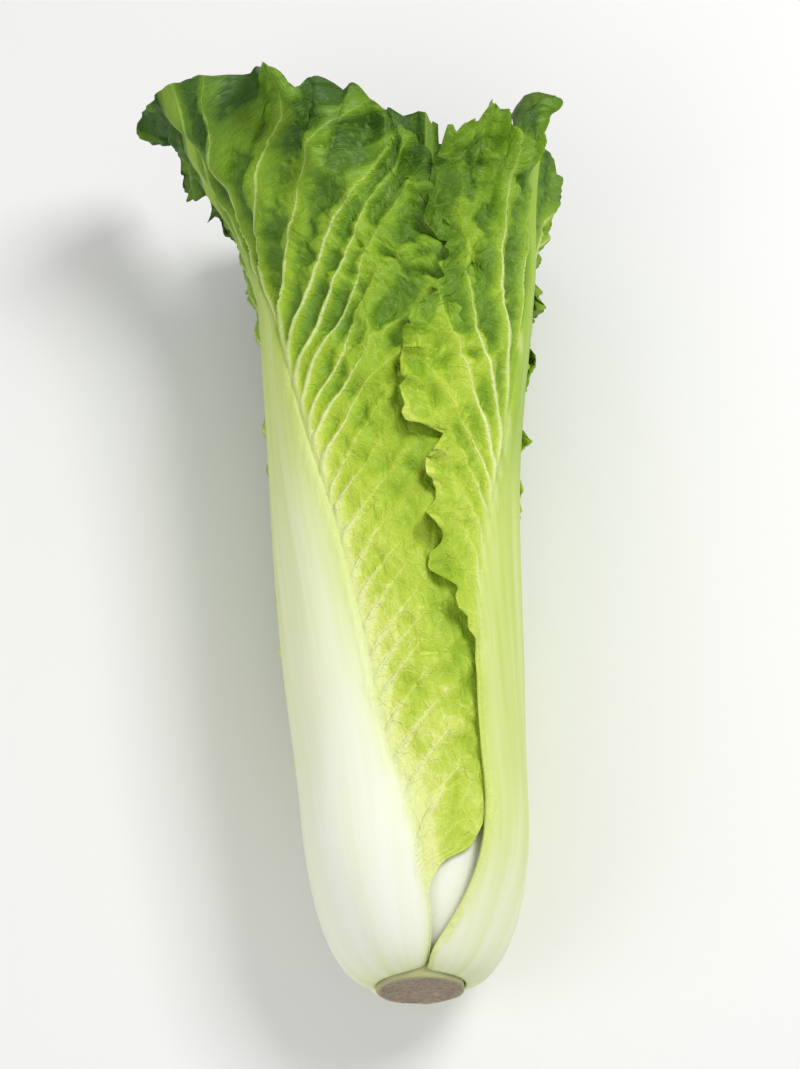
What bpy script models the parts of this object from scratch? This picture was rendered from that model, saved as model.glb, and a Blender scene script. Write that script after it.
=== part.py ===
"""A napa cabbage lying on its side: a cut stump, three whorls of ribbed leaves that overlap, and a heart."""

import math

import bmesh
import bpy
import numpy as np

# Every point of the head is set by a station, the distance along the axis from the cut of the stump,
# an angle round the axis from the top of the lying head, and a depth: 0 on the heart, 1 on the outside.
# Lengths are in metres, angles in degrees, and a curve is a row of (station, value) points.

STUMP_RADIUS = 0.0197
STUMP_LENGTH = 0.0335
STUMP_EDGE = 0.0012
STUMP_SIDES = 40
GAP = 0.0003

# Body radius of the outside and of the heart.
OUTSIDE = ((0.0, 0.0510), (0.08, 0.0520), (0.15, 0.0560), (0.25, 0.0604), (0.33, 0.0668), (0.48, 0.0700))
INSIDE = ((0.0, 0.0270), (0.09, 0.0300), (0.25, 0.0350), (0.33, 0.0350), (0.40, 0.0270), (0.48, 0.0150))

# The section is a rounded square: this is its power, and its share on the heart.
SQUARENESS = 2.8
HEART_SQUARENESS = 0.3

# How far the axis bows sideways.
AXIS_BOW = ((0.0, 0.0), (0.07, 0.0), (0.14, -0.0028), (0.22, -0.0042), (0.28, -0.0026), (0.34, 0.0), (0.48, 0.0))

# The bowl where the stalks leave the stump, for the innermost and the outermost of them.
BOWL_START = (0.028, 0.0025)
BOWL_HEIGHT = (0.050, 0.078)
BOWL_TOP = 0.08

# Above this station the leaves bend outward, but not into the surface that the head lies on.
FLARE_STATION = 0.322
FLARE_FREE_ANGLE = 100
FLARE_BLOCKED_ANGLE = 172
LEAST_FLARE = 0.01

# The under leaf's rib is pressed flat over this depth, and all else stays this far above the surface.
PRESSED_FLAT = 0.0012
CLEARANCE = 0.0006

# Middle of the bounding box, which becomes the origin.
MIDDLE_X = -0.0235
MIDDLE_Y = 0.2170

BLADE_THICKNESS = 0.0010
STALK_EDGE_THICKNESS = 0.0018

# How flat a rib's outer face is, from 2 for a half round.
RIB_FLATNESS = 3.4

# How deep a blade dips beside its rib, under the rib's outer face, and the stations where the dip starts.
DEEPEST_LEFT_DIP = 0.0032
LEFT_DIP_STATION = 0.20
RIGHT_DIP_STATION = 0.06
DIP_LENGTH = 0.07
DIP_WIDTH = 0.022

# Share of a leaf's columns of points that lies on its rib.
RIB_SHARE = 0.3

# Half the angle that a rib takes up.
RIB_HALF = (
    (0.0, 58),
    (0.04, 56),
    (0.075, 52),
    (0.10, 47),
    (0.125, 40),
    (0.15, 34),
    (0.20, 25),
    (0.25, 16),
    (0.30, 7),
    (0.35, 4),
    (0.40, 2.5),
    (0.48, 1.2),
)
CLASPING_RIB_HALF = (
    (0.0, 62),
    (0.03, 61),
    (0.045, 50),
    (0.06, 42),
    (0.10, 38),
    (0.15, 32),
    (0.20, 26),
    (0.25, 17),
    (0.30, 8),
    (0.35, 4),
    (0.40, 2.5),
    (0.48, 1.2),
)

# Angles from the rib's middle to each margin.
LEFT_MARGIN = (
    (0.0, 59),
    (0.04, 58),
    (0.075, 60),
    (0.10, 64),
    (0.15, 71),
    (0.20, 77),
    (0.30, 82),
    (0.38, 84),
    (0.48, 74),
)
RIGHT_MARGIN = (
    (0.0, 59),
    (0.04, 58),
    (0.075, 64),
    (0.10, 70),
    (0.15, 79),
    (0.20, 82),
    (0.30, 86),
    (0.38, 88),
    (0.48, 78),
)

# Thickness of the stalk and then of the rib.
OUTER_STALK = (
    (0.0, 0.0062),
    (0.04, 0.0060),
    (0.08, 0.0060),
    (0.15, 0.0057),
    (0.25, 0.0045),
    (0.33, 0.0030),
    (0.40, 0.0018),
    (0.48, 0.0012),
)
INNER_STALK = (
    (0.0, 0.0044),
    (0.04, 0.0042),
    (0.08, 0.0046),
    (0.15, 0.0044),
    (0.25, 0.0036),
    (0.33, 0.0024),
    (0.40, 0.0016),
    (0.48, 0.0012),
)
HEART_STALK = ((0.0, 0.0030), (0.25, 0.0026), (0.36, 0.0014), (0.48, 0.0012))

# How far under the rib's outer face the left blade lies, outside its neighbour, and the right one inside.
OUTER_LEVELS = (0.0022, 0.0058)
INNER_LEVELS = (0.0011, 0.0045)
HEART_LEVELS = (0.0008, 0.0026)

# How far the broad fan of lobes on the left outer leaf falls short of its length, from its left to its right.
FAN_TOP = (
    (-1.0, 0.075),
    (-0.89, 0.060),
    (-0.78, 0.042),
    (-0.67, 0.024),
    (-0.56, 0.008),
    (-0.44, -0.002),
    (-0.33, 0.002),
    (-0.22, -0.003),
    (-0.11, -0.003),
    (0.0, 0.0),
    (0.11, 0.010),
    (0.22, 0.009),
    (0.33, 0.010),
    (0.40, 0.025),
    (0.56, 0.029),
    (0.67, 0.040),
    (0.78, 0.051),
    (0.89, 0.068),
    (1.0, 0.090),
)

# The same for the right outer leaf, whose longest lobe stands over its rib.
RIGHT_FAN_TOP = (
    (-1.0, 0.047),
    (-0.84, 0.040),
    (-0.72, 0.031),
    (-0.60, 0.033),
    (-0.52, 0.038),
    (-0.40, 0.022),
    (-0.28, 0.021),
    (-0.12, 0.010),
    (-0.02, 0.010),
    (0.06, 0.028),
    (0.12, 0.029),
    (0.24, 0.026),
    (0.45, 0.029),
    (0.70, 0.029),
    (1.0, 0.046),
)

# Every other top is round and cut into lobes: drop at its sides, lobes and their depth.
USUAL_TOP = (0.045, 4.5, 0.013)

# The upper left of the right outer leaf swells out this far and overhangs the blade below it.
OVERHANG = 0.009
OVERHANG_START = (0.372, 0.388)
OVERHANG_END = (0.40, 0.45)

PLEAT_LENGTH = 0.024
PLEAT_SLANT = 0.55
SHARED_WAVE = 0.0040
SHARED_WAVES_ROUND = 9
SCALLOP_LENGTH = 0.031
LEFT_RUFFLE_LENGTH = 0.034
RIGHT_RUFFLE_LENGTH = 0.029

# A leaf's flare is how fast its left margin, its middle and its right margin bend outward, per metre.
# Where a leaf has a left_span, its flare and top are spread over that, and its left margin ends short of it.
OUTER_LEAVES = (
    {
        "name": "outer_leaf_left",
        "line": ((0.0, -50), (0.25, -50), (0.30, -53), (0.35, -60), (0.42, -65), (0.48, -68)),
        "left": (
            (0.0, 59),
            (0.04, 58),
            (0.075, 60),
            (0.10, 64),
            (0.15, 71),
            (0.20, 77),
            (0.28, 79),
            (0.33, 62),
            (0.36, 47),
            (0.39, 40),
            (0.42, 38),
            (0.48, 38),
        ),
        "left_span": LEFT_MARGIN,
        "right": (
            (0.0, 59),
            (0.04, 58),
            (0.075, 70),
            (0.10, 81),
            (0.15, 87),
            (0.20, 88),
            (0.36, 90),
            (0.48, 86),
        ),
        "length": 0.440,
        "fan": FAN_TOP,
        "flare": (6.0, 7.9, 2.3),
        "seed": 1.0,
    },
    {
        "name": "outer_leaf_right",
        "line": (
            (0.0, 72),
            (0.06, 75),
            (0.10, 72),
            (0.15, 67),
            (0.20, 61),
            (0.25, 56),
            (0.30, 58),
            (0.35, 60),
            (0.48, 63),
        ),
        "rib_half": CLASPING_RIB_HALF,
        "left": (
            (0.0, 63),
            (0.03, 62),
            (0.06, 44),
            (0.10, 40),
            (0.145, 34),
            (0.17, 42),
            (0.19, 47),
            (0.215, 44),
            (0.235, 41),
            (0.255, 51),
            (0.30, 52),
            (0.32, 46),
            (0.345, 40),
            (0.38, 40),
            (0.48, 42),
        ),
        "right": (
            (0.0, 58),
            (0.03, 57),
            (0.05, 56),
            (0.075, 58),
            (0.10, 63),
            (0.15, 72),
            (0.20, 80),
            (0.30, 84),
            (0.38, 80),
            (0.48, 66),
        ),
        "length": 0.434,
        "fan": RIGHT_FAN_TOP,
        "flare": (3.6, 2.5, 0.8),
        "overhang": OVERHANG,
        "seed": 2.0,
    },
    {
        "name": "outer_leaf_under",
        "line": ((0.0, 191), (0.48, 191)),
        "left": (
            (0.0, 59),
            (0.04, 58),
            (0.075, 60),
            (0.10, 62),
            (0.15, 66),
            (0.20, 67),
            (0.30, 72),
            (0.38, 76),
            (0.48, 66),
        ),
        "length": 0.424,
        "flare": (3.8, 1.0, 1.1),
        "pressed": 1.0,
        "seed": 3.0,
    },
)

# The second and third whorls: depth, then name, angle of the rib, length and flare of each leaf.
SECOND_WHORL = 0.615
SECOND_LEAVES = (
    ("second_leaf_top", 16, 0.416, (2.9, 1.5, 1.2)),
    ("second_leaf_right", 136, 0.406, (1.3, 1.2, 0.9)),
    ("second_leaf_left", 256, 0.414, (2.4, 2.2, 0.7)),
)
THIRD_WHORL = 0.330
THIRD_LEAVES = (
    ("third_leaf_right", 76, 0.394, (1.0, 0.8, 0.5)),
    ("third_leaf_under", 196, 0.388, (1.0, 0.8, 0.2)),
    ("third_leaf_left", 316, 0.398, (2.1, 0.9, 0.5)),
)

# The heart's small leaves: angle, root, length and depth. They stand out of a dense core.
HEART_LEAVES = (
    (20, 0.20, 0.372, -0.10),
    (140, 0.20, 0.366, -0.10),
    (260, 0.20, 0.375, -0.10),
    (80, 0.275, 0.355, -0.36),
    (260, 0.275, 0.350, -0.36),
)
CORE = (
    (0.0345, 0.0210),
    (0.050, 0.0262),
    (0.09, 0.0284),
    (0.20, 0.0300),
    (0.235, 0.0282),
    (0.27, 0.0225),
    (0.30, 0.0175),
    (0.325, 0.0110),
    (0.335, 0.0040),
)
CORE_STATIONS = (0.0345, 0.042, 0.055, 0.08, 0.14, 0.20, 0.22, 0.24, 0.26, 0.28, 0.30, 0.315, 0.327, 0.335)
CORE_SIDES = 16
CORE_SQUARENESS = 0.2

# Rows of points along a leaf, as shares of its length.
OUTER_LOW_ROWS = (0, 0.025, 0.055, 0.09, 0.13, 0.17, 0.22, 0.28, 0.34, 0.40, 0.46, 0.52, 0.57, 0.62)
SECOND_LOW_ROWS = (0, 0.03, 0.07, 0.12, 0.18, 0.26, 0.36, 0.46, 0.56, 0.64)
THIRD_LOW_ROWS = (0, 0.03, 0.07, 0.12, 0.20, 0.32, 0.44, 0.56, 0.66)
OUTER_ROWS = np.concatenate([OUTER_LOW_ROWS, np.linspace(0.66, 1, 14)])
SECOND_ROWS = np.concatenate([SECOND_LOW_ROWS, np.linspace(0.70, 1, 10)])
THIRD_ROWS = np.concatenate([THIRD_LOW_ROWS, np.linspace(0.74, 1, 8)])
HEART_ROWS = np.linspace(0, 1, 9)

LEAF_COLOUR = (0.30, 0.47, 0.09)
HEART_COLOUR = (0.72, 0.75, 0.30)
CUT_COLOUR = (0.42, 0.34, 0.26)


def curve(where, points):
    """A smooth curve through (place, value) points, level beyond its ends."""
    places, values = np.array(points, float).T
    slopes = np.gradient(values, places)
    where = np.clip(where, places[0], places[-1])
    i = np.clip(np.searchsorted(places, where) - 1, 0, len(places) - 2)
    step = places[i + 1] - places[i]
    t = (where - places[i]) / step
    return (
        values[i] * (1 + 2 * t) * (1 - t) ** 2
        + slopes[i] * step * t * (1 - t) ** 2
        + values[i + 1] * t**2 * (3 - 2 * t)
        + slopes[i + 1] * step * t**2 * (t - 1)
    )


def ramp(where, start, end):
    """0 before start, 1 after end, smooth between."""
    t = np.clip((where - start) / (end - start), 0, 1)
    return t * t * (3 - 2 * t)


def wave(where, length, shift):
    return np.sin(2 * math.pi * where / length + shift)


def round_square(angle):
    """How far a rounded square with a unit half side reaches at an angle."""
    return (np.abs(np.sin(angle)) ** SQUARENESS + np.abs(np.cos(angle)) ** SQUARENESS) ** (-1 / SQUARENESS)


def axis_height(station):
    """Height of the head's axis, so that the outside lies on the surface."""
    return curve(np.maximum(station, BOWL_TOP), OUTSIDE) - PRESSED_FLAT


def head_point(depth, degrees, station, flare, lift, floor):
    """Points of the head. Lift is the height over the depth's own surface, and floor is the lowest z."""
    start = BOWL_START[0] + depth * (BOWL_START[1] - BOWL_START[0])
    height = BOWL_HEIGHT[0] + depth * (BOWL_HEIGHT[1] - BOWL_HEIGHT[0])
    turn = np.clip(station / (start + height), 0, 1) * math.pi / 2
    along = np.where(turn < math.pi / 2, start + height * (1 - np.cos(turn)), station)
    inside = curve(along, INSIDE)
    body = inside + depth * (curve(along, OUTSIDE) - inside)
    stalk_root = STUMP_RADIUS + GAP
    radius = stalk_root + (body - stalk_root) * np.sin(turn)
    slope = np.arctan2((body - stalk_root) * np.cos(turn), height * np.sin(turn))

    angle = np.radians(degrees)
    from_top = np.abs((degrees + 180) % 360 - 180)
    squareness = HEART_SQUARENESS + (1 - HEART_SQUARENESS) * np.clip(depth, 0, 1)
    radius = radius * (1 + ramp(along, 0.01, 0.06) * squareness * (round_square(angle) - 1))

    free = 1 - ramp(from_top, FLARE_FREE_ANGLE, FLARE_BLOCKED_ANGLE)
    bend = np.maximum(flare * free, LEAST_FLARE)
    beyond = np.maximum(along - FLARE_STATION, 0)
    slope = slope + bend * beyond
    radius = radius + (1 - np.cos(bend * beyond)) / bend + lift * np.cos(slope)
    z = np.maximum(axis_height(along) + radius * np.cos(angle), floor)
    along = np.minimum(along, FLARE_STATION) + np.sin(bend * beyond) / bend - lift * np.sin(slope)
    x = radius * np.sin(angle) + curve(along, AXIS_BOW) - MIDDLE_X
    return np.stack([x, along - MIDDLE_Y, z], axis=-1)


def leaf_offsets(leaf, stations, columns, rib, margin):
    """Angles from the rib's middle for each row and column of points, with scalloped margins."""
    # Low on the stalk the columns share out the whole width, and higher up some of them keep to the rib.
    evenly = columns * margin
    on_rib = np.clip(np.abs(columns) / RIB_SHARE, 0, 1)
    on_blade = np.clip((np.abs(columns) - RIB_SHARE) / (1 - RIB_SHARE), 0, 1)
    by_rib = np.sign(columns) * (on_rib * rib + on_blade * (margin - rib))
    offsets = evenly + ramp(stations, 0.03, 0.09) * (by_rib - evenly)
    scallops = wave(stations, SCALLOP_LENGTH, 2 * leaf["seed"]) * ramp(stations, 0.12, 0.2)
    return offsets + np.sign(columns) * leaf["scallops"] * scallops * ramp(np.abs(columns), 0.5, 1)


def shortening(leaf, spread):
    """How far a leaf's end falls short of its length across its spread."""
    if leaf["fan"]:
        return curve(spread, leaf["fan"])
    drop, lobes, depth, shift = leaf["top"]
    return drop * np.abs(spread) ** 2.5 + depth * (1 - np.abs(np.cos(lobes * spread + shift)))


def blade_level(leaf, stations, offsets, thick, edge_thick, across_blade):
    """How far the middle of the blade lies under the rib's outer face."""
    left_level, right_level = leaf["levels"]
    within_stalk = np.minimum(right_level, thick - edge_thick / 2)
    right_level = within_stalk + ramp(stations, 0.09, 0.15) * (right_level - within_stalk)
    level = np.where(offsets < 0, left_level, right_level)
    flush_inside = thick - 0.6 * BLADE_THICKNESS
    dips_from = np.where(offsets < 0, LEFT_DIP_STATION, RIGHT_DIP_STATION)
    dip = np.where(offsets < 0, np.minimum(flush_inside, DEEPEST_LEFT_DIP), flush_inside)
    beside_rib = level + ramp(stations, dips_from, dips_from + DIP_LENGTH) * (dip - level)
    return beside_rib + ramp(across_blade, 0, DIP_WIDTH) * (level - beside_rib)


def leaf_waves(leaf, degrees, stations, spread, across, beyond_rib, rows):
    """Pleats along the side veins, ruffles on the margins and the waves that neighbouring leaves share."""
    seed = leaf["seed"]
    on_blade = ramp(beyond_rib, 0, 12)
    chevron = stations - PLEAT_SLANT * np.abs(across)
    pleats = leaf["pleats"] * on_blade * ramp(stations, 0.10, 0.2) * wave(chevron, PLEAT_LENGTH, seed)
    shared = SHARED_WAVE * ramp(stations, 0.32, 0.44) * on_blade * (0.4 + 0.6 * leaf["depth"])
    shared = shared * np.sin(np.radians(degrees) * SHARED_WAVES_ROUND + 25 * stations + 2 * leaf["depth"])

    left, right, tip = leaf["ruffles"]
    near_side = ramp(np.abs(spread), 0.62, 1)
    left = left * ramp(stations, 0.10, 0.2) * (0.5 + 0.5 * wave(stations, LEFT_RUFFLE_LENGTH, 1.7 * seed))
    right = right * ramp(stations, 0.12, 0.2) * wave(stations, RIGHT_RUFFLE_LENGTH, seed)
    near_tip = ramp(rows, 0.80, 1) * (1 - 0.75 * near_side)
    tip = tip * near_tip * np.sin(spread * leaf["tip_waves"] + 2.3 * seed)
    swell = ramp(stations, *OVERHANG_START) * (1 - ramp(stations, *OVERHANG_END)) * ramp(-spread, 0.15, 0.4)
    return pleats + shared + near_side * np.where(spread < 0, left, right) + tip + leaf["overhang"] * swell


def leaf_grid(leaf, rows, columns):
    """The outer and the inner face of a leaf as two grids of points."""
    rows = rows[:, None]
    columns = columns[None, :]
    length = leaf["length"]
    stations = leaf["root"] + rows * (length - leaf["root"])
    rib = curve(stations, leaf["rib_half"])
    margin = np.where(columns < 0, curve(stations, leaf["left"]), curve(stations, leaf["right"]))
    offsets = leaf_offsets(leaf, stations, columns, rib, margin)
    left_span = curve(stations, leaf["left_span"] or leaf["left"])
    spread = offsets / np.where(columns < 0, left_span, margin)
    stations = stations - ramp(stations, 0.6 * length, length) * shortening(leaf, spread[-1:])
    degrees = curve(stations, leaf["line"]) + offsets

    radius = curve(stations, OUTSIDE)
    share = np.clip(np.abs(offsets) / rib, 0, 1)
    beyond_rib = np.maximum(np.abs(offsets) - rib, 0)
    thick = curve(stations, leaf["stalk"])
    edge_thick = STALK_EDGE_THICKNESS + ramp(stations, 0.07, 0.12) * (BLADE_THICKNESS - STALK_EDGE_THICKNESS)
    blade = blade_level(leaf, stations, offsets, thick, edge_thick, np.radians(beyond_rib) * radius)

    # The rib stands proud on the outside, rounded towards its edges, and is nearly flat inside.
    outer = (blade - edge_thick / 2) * (1 - np.sqrt(1 - share**RIB_FLATNESS))
    inner = thick + (blade + edge_thick / 2 - thick) * share**2

    lift = leaf_waves(leaf, degrees, stations, spread, np.radians(offsets) * radius, beyond_rib, rows)
    left_flare, middle_flare, right_flare = leaf["flare"]
    flare = curve(spread, ((-1, left_flare), (0, middle_flare), (1, right_flare)))
    pressed = leaf["pressed"] * (share < 1) * ramp(stations, 0.04, 0.06)
    floor = CLEARANCE * (1 - pressed)
    depth = leaf["depth"] + np.zeros_like(stations)
    outer_face = head_point(depth, degrees, stations, flare, lift - outer, floor)
    inner_face = head_point(depth, degrees, stations, flare, lift - inner, floor + (inner - outer))
    return outer_face, inner_face


def split_squares(a, b, c, d):
    """Two triangles for each square of four corners."""
    return np.concatenate([np.stack([a, b, c], -1).reshape(-1, 3), np.stack([a, c, d], -1).reshape(-1, 3)])


def shell(outer_face, inner_face):
    """Points and triangles of a closed sheet between two grids, split alike on both faces."""
    rows, columns = outer_face.shape[:2]
    count = rows * columns
    index = np.arange(count).reshape(rows, columns)
    front = split_squares(index[:-1, :-1], index[:-1, 1:], index[1:, 1:], index[1:, :-1])
    back = front[:, ::-1] + count
    rim = np.concatenate([index[0, :], index[1:, -1], index[-1, -2::-1], index[-2:0:-1, 0]])
    following = np.roll(rim, -1)
    wall = split_squares(rim, rim + count, following + count, following)
    points = np.concatenate([outer_face.reshape(-1, 3), inner_face.reshape(-1, 3)])
    return points, np.concatenate([front, back, wall])


def core_solid():
    """The dense middle of the heart, closed at both ends."""
    stations = np.array(CORE_STATIONS)[:, None]
    turn = np.arange(CORE_SIDES)[None, :] * 2 * math.pi / CORE_SIDES
    radius = curve(stations, CORE) * (1 + CORE_SQUARENESS * (round_square(turn) - 1))
    x = radius * np.sin(turn) + curve(stations, AXIS_BOW) - MIDDLE_X
    y = stations - MIDDLE_Y + 0 * turn
    rings = np.stack([x, y, axis_height(stations) + radius * np.cos(turn)], -1)
    ends = rings[[0, -1]].mean(axis=1)
    count = len(stations) * CORE_SIDES
    index = np.arange(count).reshape(len(stations), CORE_SIDES)
    following = np.roll(index, -1, axis=1)
    side = split_squares(index[:-1], following[:-1], following[1:], index[1:])
    bottom = np.stack([index[0], np.full(CORE_SIDES, count), following[0]], -1)
    top = np.stack([index[-1], following[-1], np.full(CORE_SIDES, count + 1)], -1)
    return np.concatenate([rings.reshape(-1, 3), ends]), np.concatenate([side, bottom, top])


def surface(name, colour, roughness):
    material = bpy.data.materials.new(name)
    material.use_nodes = True
    shader = material.node_tree.nodes["Principled BSDF"]
    shader.inputs["Base Color"].default_value = (*colour, 1)
    shader.inputs["Roughness"].default_value = roughness
    shader.inputs["Metallic"].default_value = 0
    return material


def add_piece(name, mesh, material):
    mesh.shade_smooth()
    mesh.set_sharp_from_angle(angle=math.radians(50))
    mesh.materials.append(material)
    piece = bpy.data.objects.new(name, mesh)
    bpy.context.scene.collection.objects.link(piece)
    return piece


def add_shape(name, points, triangles, material):
    mesh = bpy.data.meshes.new(name)
    mesh.from_pydata(points.tolist(), [], triangles.tolist())
    return add_piece(name, mesh, material)


def add_stump(material):
    """The cut stalk: a short cylinder with a worn edge, standing out a little below the leaves."""
    mesh = bpy.data.meshes.new("stump")
    shape = bmesh.new()
    bmesh.ops.create_cone(
        shape,
        cap_ends=True,
        segments=STUMP_SIDES,
        radius1=STUMP_RADIUS,
        radius2=STUMP_RADIUS,
        depth=STUMP_LENGTH,
    )
    rim = [edge for edge in shape.edges if all(vertex.co.z < 0 for vertex in edge.verts)]
    bmesh.ops.bevel(shape, geom=rim, offset=STUMP_EDGE, segments=2, profile=0.5, affect="EDGES")
    shape.to_mesh(mesh)
    shape.free()
    stump = add_piece("stump", mesh, material)
    stump.location = (-MIDDLE_X, STUMP_LENGTH / 2 - MIDDLE_Y, float(axis_height(BOWL_TOP)))
    stump.rotation_euler = (-math.pi / 2, 0, 0)


def grid_columns(on_half_rib, on_blade):
    """Columns across a leaf, more of them on the rib's rounded edges."""
    rib = RIB_SHARE * np.sin(np.linspace(0, math.pi / 2, on_half_rib + 1))
    blade = np.linspace(RIB_SHARE, 1, on_blade + 1)[1:]
    half = np.concatenate([rib, blade])
    return np.concatenate([-half[:0:-1], half])


def leaf_settings(**given):
    """A leaf's settings, with the usual value wherever none is given."""
    usual = {
        "root": 0.0,
        "depth": 0.985,
        "rib_half": RIB_HALF,
        "left": LEFT_MARGIN,
        "left_span": None,
        "right": RIGHT_MARGIN,
        "fan": None,
        "top": (*USUAL_TOP, given["seed"]),
        "stalk": OUTER_STALK,
        "levels": OUTER_LEVELS,
        "pleats": 0.0008,
        "scallops": 1.8,
        "ruffles": (0.0050, 0.0006, 0.0060),
        "tip_waves": 11.0,
        "overhang": 0.0,
        "pressed": 0.0,
    }
    return {**usual, **given}


def inner_leaf(name, degrees, length, flare, depth, seed):
    return leaf_settings(
        name=name,
        line=((0.0, degrees), (0.48, degrees)),
        length=length,
        depth=depth,
        stalk=INNER_STALK,
        levels=INNER_LEVELS,
        flare=flare,
        pleats=0.0,
        ruffles=(0.0006, 0.0004, 0.0042),
        scallops=1.0,
        seed=seed,
    )


def heart_leaf(degrees, root, length, depth, seed):
    return leaf_settings(
        line=((0.0, degrees), (0.48, degrees)),
        length=length,
        root=root,
        depth=depth,
        stalk=HEART_STALK,
        levels=HEART_LEVELS,
        flare=(0.3, 0.3, 0.3),
        pleats=0.0,
        ruffles=(0.0004, 0.0004, 0.0022),
        seed=seed,
    )


def add_heart(material):
    """The core and its small leaves, joined into one solid."""
    heart = add_shape("heart", *core_solid(), material)
    blades = bpy.data.collections.new("heart_blades")
    for number, (degrees, root, length, depth) in enumerate(HEART_LEAVES):
        leaf = heart_leaf(degrees, root, length, depth, 11.0 + number)
        grids = leaf_grid(leaf, HEART_ROWS, grid_columns(1, 3))
        blade = add_shape(f"heart_blade_{number}", *shell(*grids), material)
        bpy.context.scene.collection.objects.unlink(blade)
        blades.objects.link(blade)
    union = heart.modifiers.new("union", "BOOLEAN")
    union.operation = "UNION"
    union.operand_type = "COLLECTION"
    union.collection = blades
    union.solver = "MANIFOLD"
    graph = bpy.context.evaluated_depsgraph_get()
    joined = bpy.data.meshes.new_from_object(heart.evaluated_get(graph))
    heart.modifiers.remove(union)
    heart.data = joined
    for blade in list(blades.objects):
        bpy.data.objects.remove(blade)
    bpy.data.collections.remove(blades)


def main():
    for old in list(bpy.data.objects):
        bpy.data.objects.remove(old)
    green = surface("leaf", LEAF_COLOUR, 0.45)
    pale = surface("heart", HEART_COLOUR, 0.45)
    cut = surface("cut_stalk", CUT_COLOUR, 0.75)

    add_stump(cut)
    for settings in OUTER_LEAVES:
        leaf = leaf_settings(**settings)
        columns = grid_columns(3, 6 if leaf["pressed"] else 9)
        add_shape(leaf["name"], *shell(*leaf_grid(leaf, OUTER_ROWS, columns)), green)
    seed = 4.0
    for depth, leaves, rows, on_blade in (
        (SECOND_WHORL, SECOND_LEAVES, SECOND_ROWS, 6),
        (THIRD_WHORL, THIRD_LEAVES, THIRD_ROWS, 4),
    ):
        for name, degrees, length, flare in leaves:
            leaf = inner_leaf(name, degrees, length, flare, depth, seed)
            add_shape(name, *shell(*leaf_grid(leaf, rows, grid_columns(2, on_blade))), green)
            seed += 1
    add_heart(pale)


main()
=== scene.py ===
"""The looks of a napa cabbage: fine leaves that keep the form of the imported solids, with their materials,
a plain floor, soft studio light and the camera."""

import math
from types import SimpleNamespace

import bpy
import numpy as np
from mathutils import Matrix, Vector


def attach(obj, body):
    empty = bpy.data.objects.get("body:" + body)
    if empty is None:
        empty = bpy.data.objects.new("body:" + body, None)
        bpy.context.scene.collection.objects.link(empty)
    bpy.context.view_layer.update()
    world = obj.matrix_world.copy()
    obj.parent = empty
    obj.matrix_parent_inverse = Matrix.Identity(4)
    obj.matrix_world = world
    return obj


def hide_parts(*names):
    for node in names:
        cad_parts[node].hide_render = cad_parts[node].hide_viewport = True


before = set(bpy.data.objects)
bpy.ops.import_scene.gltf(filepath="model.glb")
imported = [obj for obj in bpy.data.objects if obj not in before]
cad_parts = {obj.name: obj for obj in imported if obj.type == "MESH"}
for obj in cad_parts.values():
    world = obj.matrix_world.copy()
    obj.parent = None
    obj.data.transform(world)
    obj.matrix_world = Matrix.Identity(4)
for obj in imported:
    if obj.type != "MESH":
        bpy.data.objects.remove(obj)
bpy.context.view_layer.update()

# The construction's driving dimensions, in metres and degrees, with the same names and values.
STUMP_RADIUS = 0.0197
STUMP_LENGTH = 0.0335
GAP = 0.0003
OUTSIDE = ((0.0, 0.0510), (0.08, 0.0520), (0.15, 0.0560), (0.25, 0.0604), (0.33, 0.0668), (0.48, 0.0700))
INSIDE = ((0.0, 0.0270), (0.09, 0.0300), (0.25, 0.0350), (0.33, 0.0350), (0.40, 0.0270), (0.48, 0.0150))
SQUARENESS = 2.8
HEART_SQUARENESS = 0.3
AXIS_BOW = (
    (0.0, 0.0), (0.07, 0.0), (0.14, -0.0028), (0.22, -0.0042), (0.28, -0.0026), (0.34, 0.0), (0.48, 0.0),
)
BOWL_START = (0.028, 0.0025)
BOWL_HEIGHT = (0.050, 0.078)
BOWL_TOP = 0.08
FLARE_STATION = 0.322
FLARE_FREE_ANGLE = 100
FLARE_BLOCKED_ANGLE = 172
LEAST_FLARE = 0.01
PRESSED_FLAT = 0.0012
CLEARANCE = 0.0006
MIDDLE_X = -0.0235
MIDDLE_Y = 0.2170
STALK_EDGE_THICKNESS = 0.0018
RIB_FLATNESS = 3.4
DEEPEST_LEFT_DIP = 0.0032
LEFT_DIP_STATION = 0.20
RIGHT_DIP_STATION = 0.06
DIP_LENGTH = 0.07
DIP_WIDTH = 0.022
RIB_SHARE = 0.3
RIB_HALF = (
    (0.0, 58), (0.04, 56), (0.075, 52), (0.10, 47), (0.125, 40), (0.15, 34), (0.20, 25), (0.25, 16),
    (0.30, 7), (0.35, 4), (0.40, 2.5), (0.48, 1.2),
)
LEFT_MARGIN = (
    (0.0, 59), (0.04, 58), (0.075, 60), (0.10, 64), (0.15, 71), (0.20, 77), (0.30, 82), (0.38, 84),
    (0.48, 74),
)
RIGHT_MARGIN = (
    (0.0, 59), (0.04, 58), (0.075, 64), (0.10, 70), (0.15, 79), (0.20, 82), (0.30, 86), (0.38, 88),
    (0.48, 78),
)
OUTER_STALK = (
    (0.0, 0.0062), (0.04, 0.0060), (0.08, 0.0060), (0.15, 0.0057), (0.25, 0.0045), (0.33, 0.0030),
    (0.40, 0.0018), (0.48, 0.0012),
)
INNER_STALK = (
    (0.0, 0.0044), (0.04, 0.0042), (0.08, 0.0046), (0.15, 0.0044), (0.25, 0.0036), (0.33, 0.0024),
    (0.40, 0.0016), (0.48, 0.0012),
)
HEART_STALK = ((0.0, 0.0030), (0.25, 0.0026), (0.36, 0.0014), (0.48, 0.0012))
OUTER_LEVELS = (0.0022, 0.0058)
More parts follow.
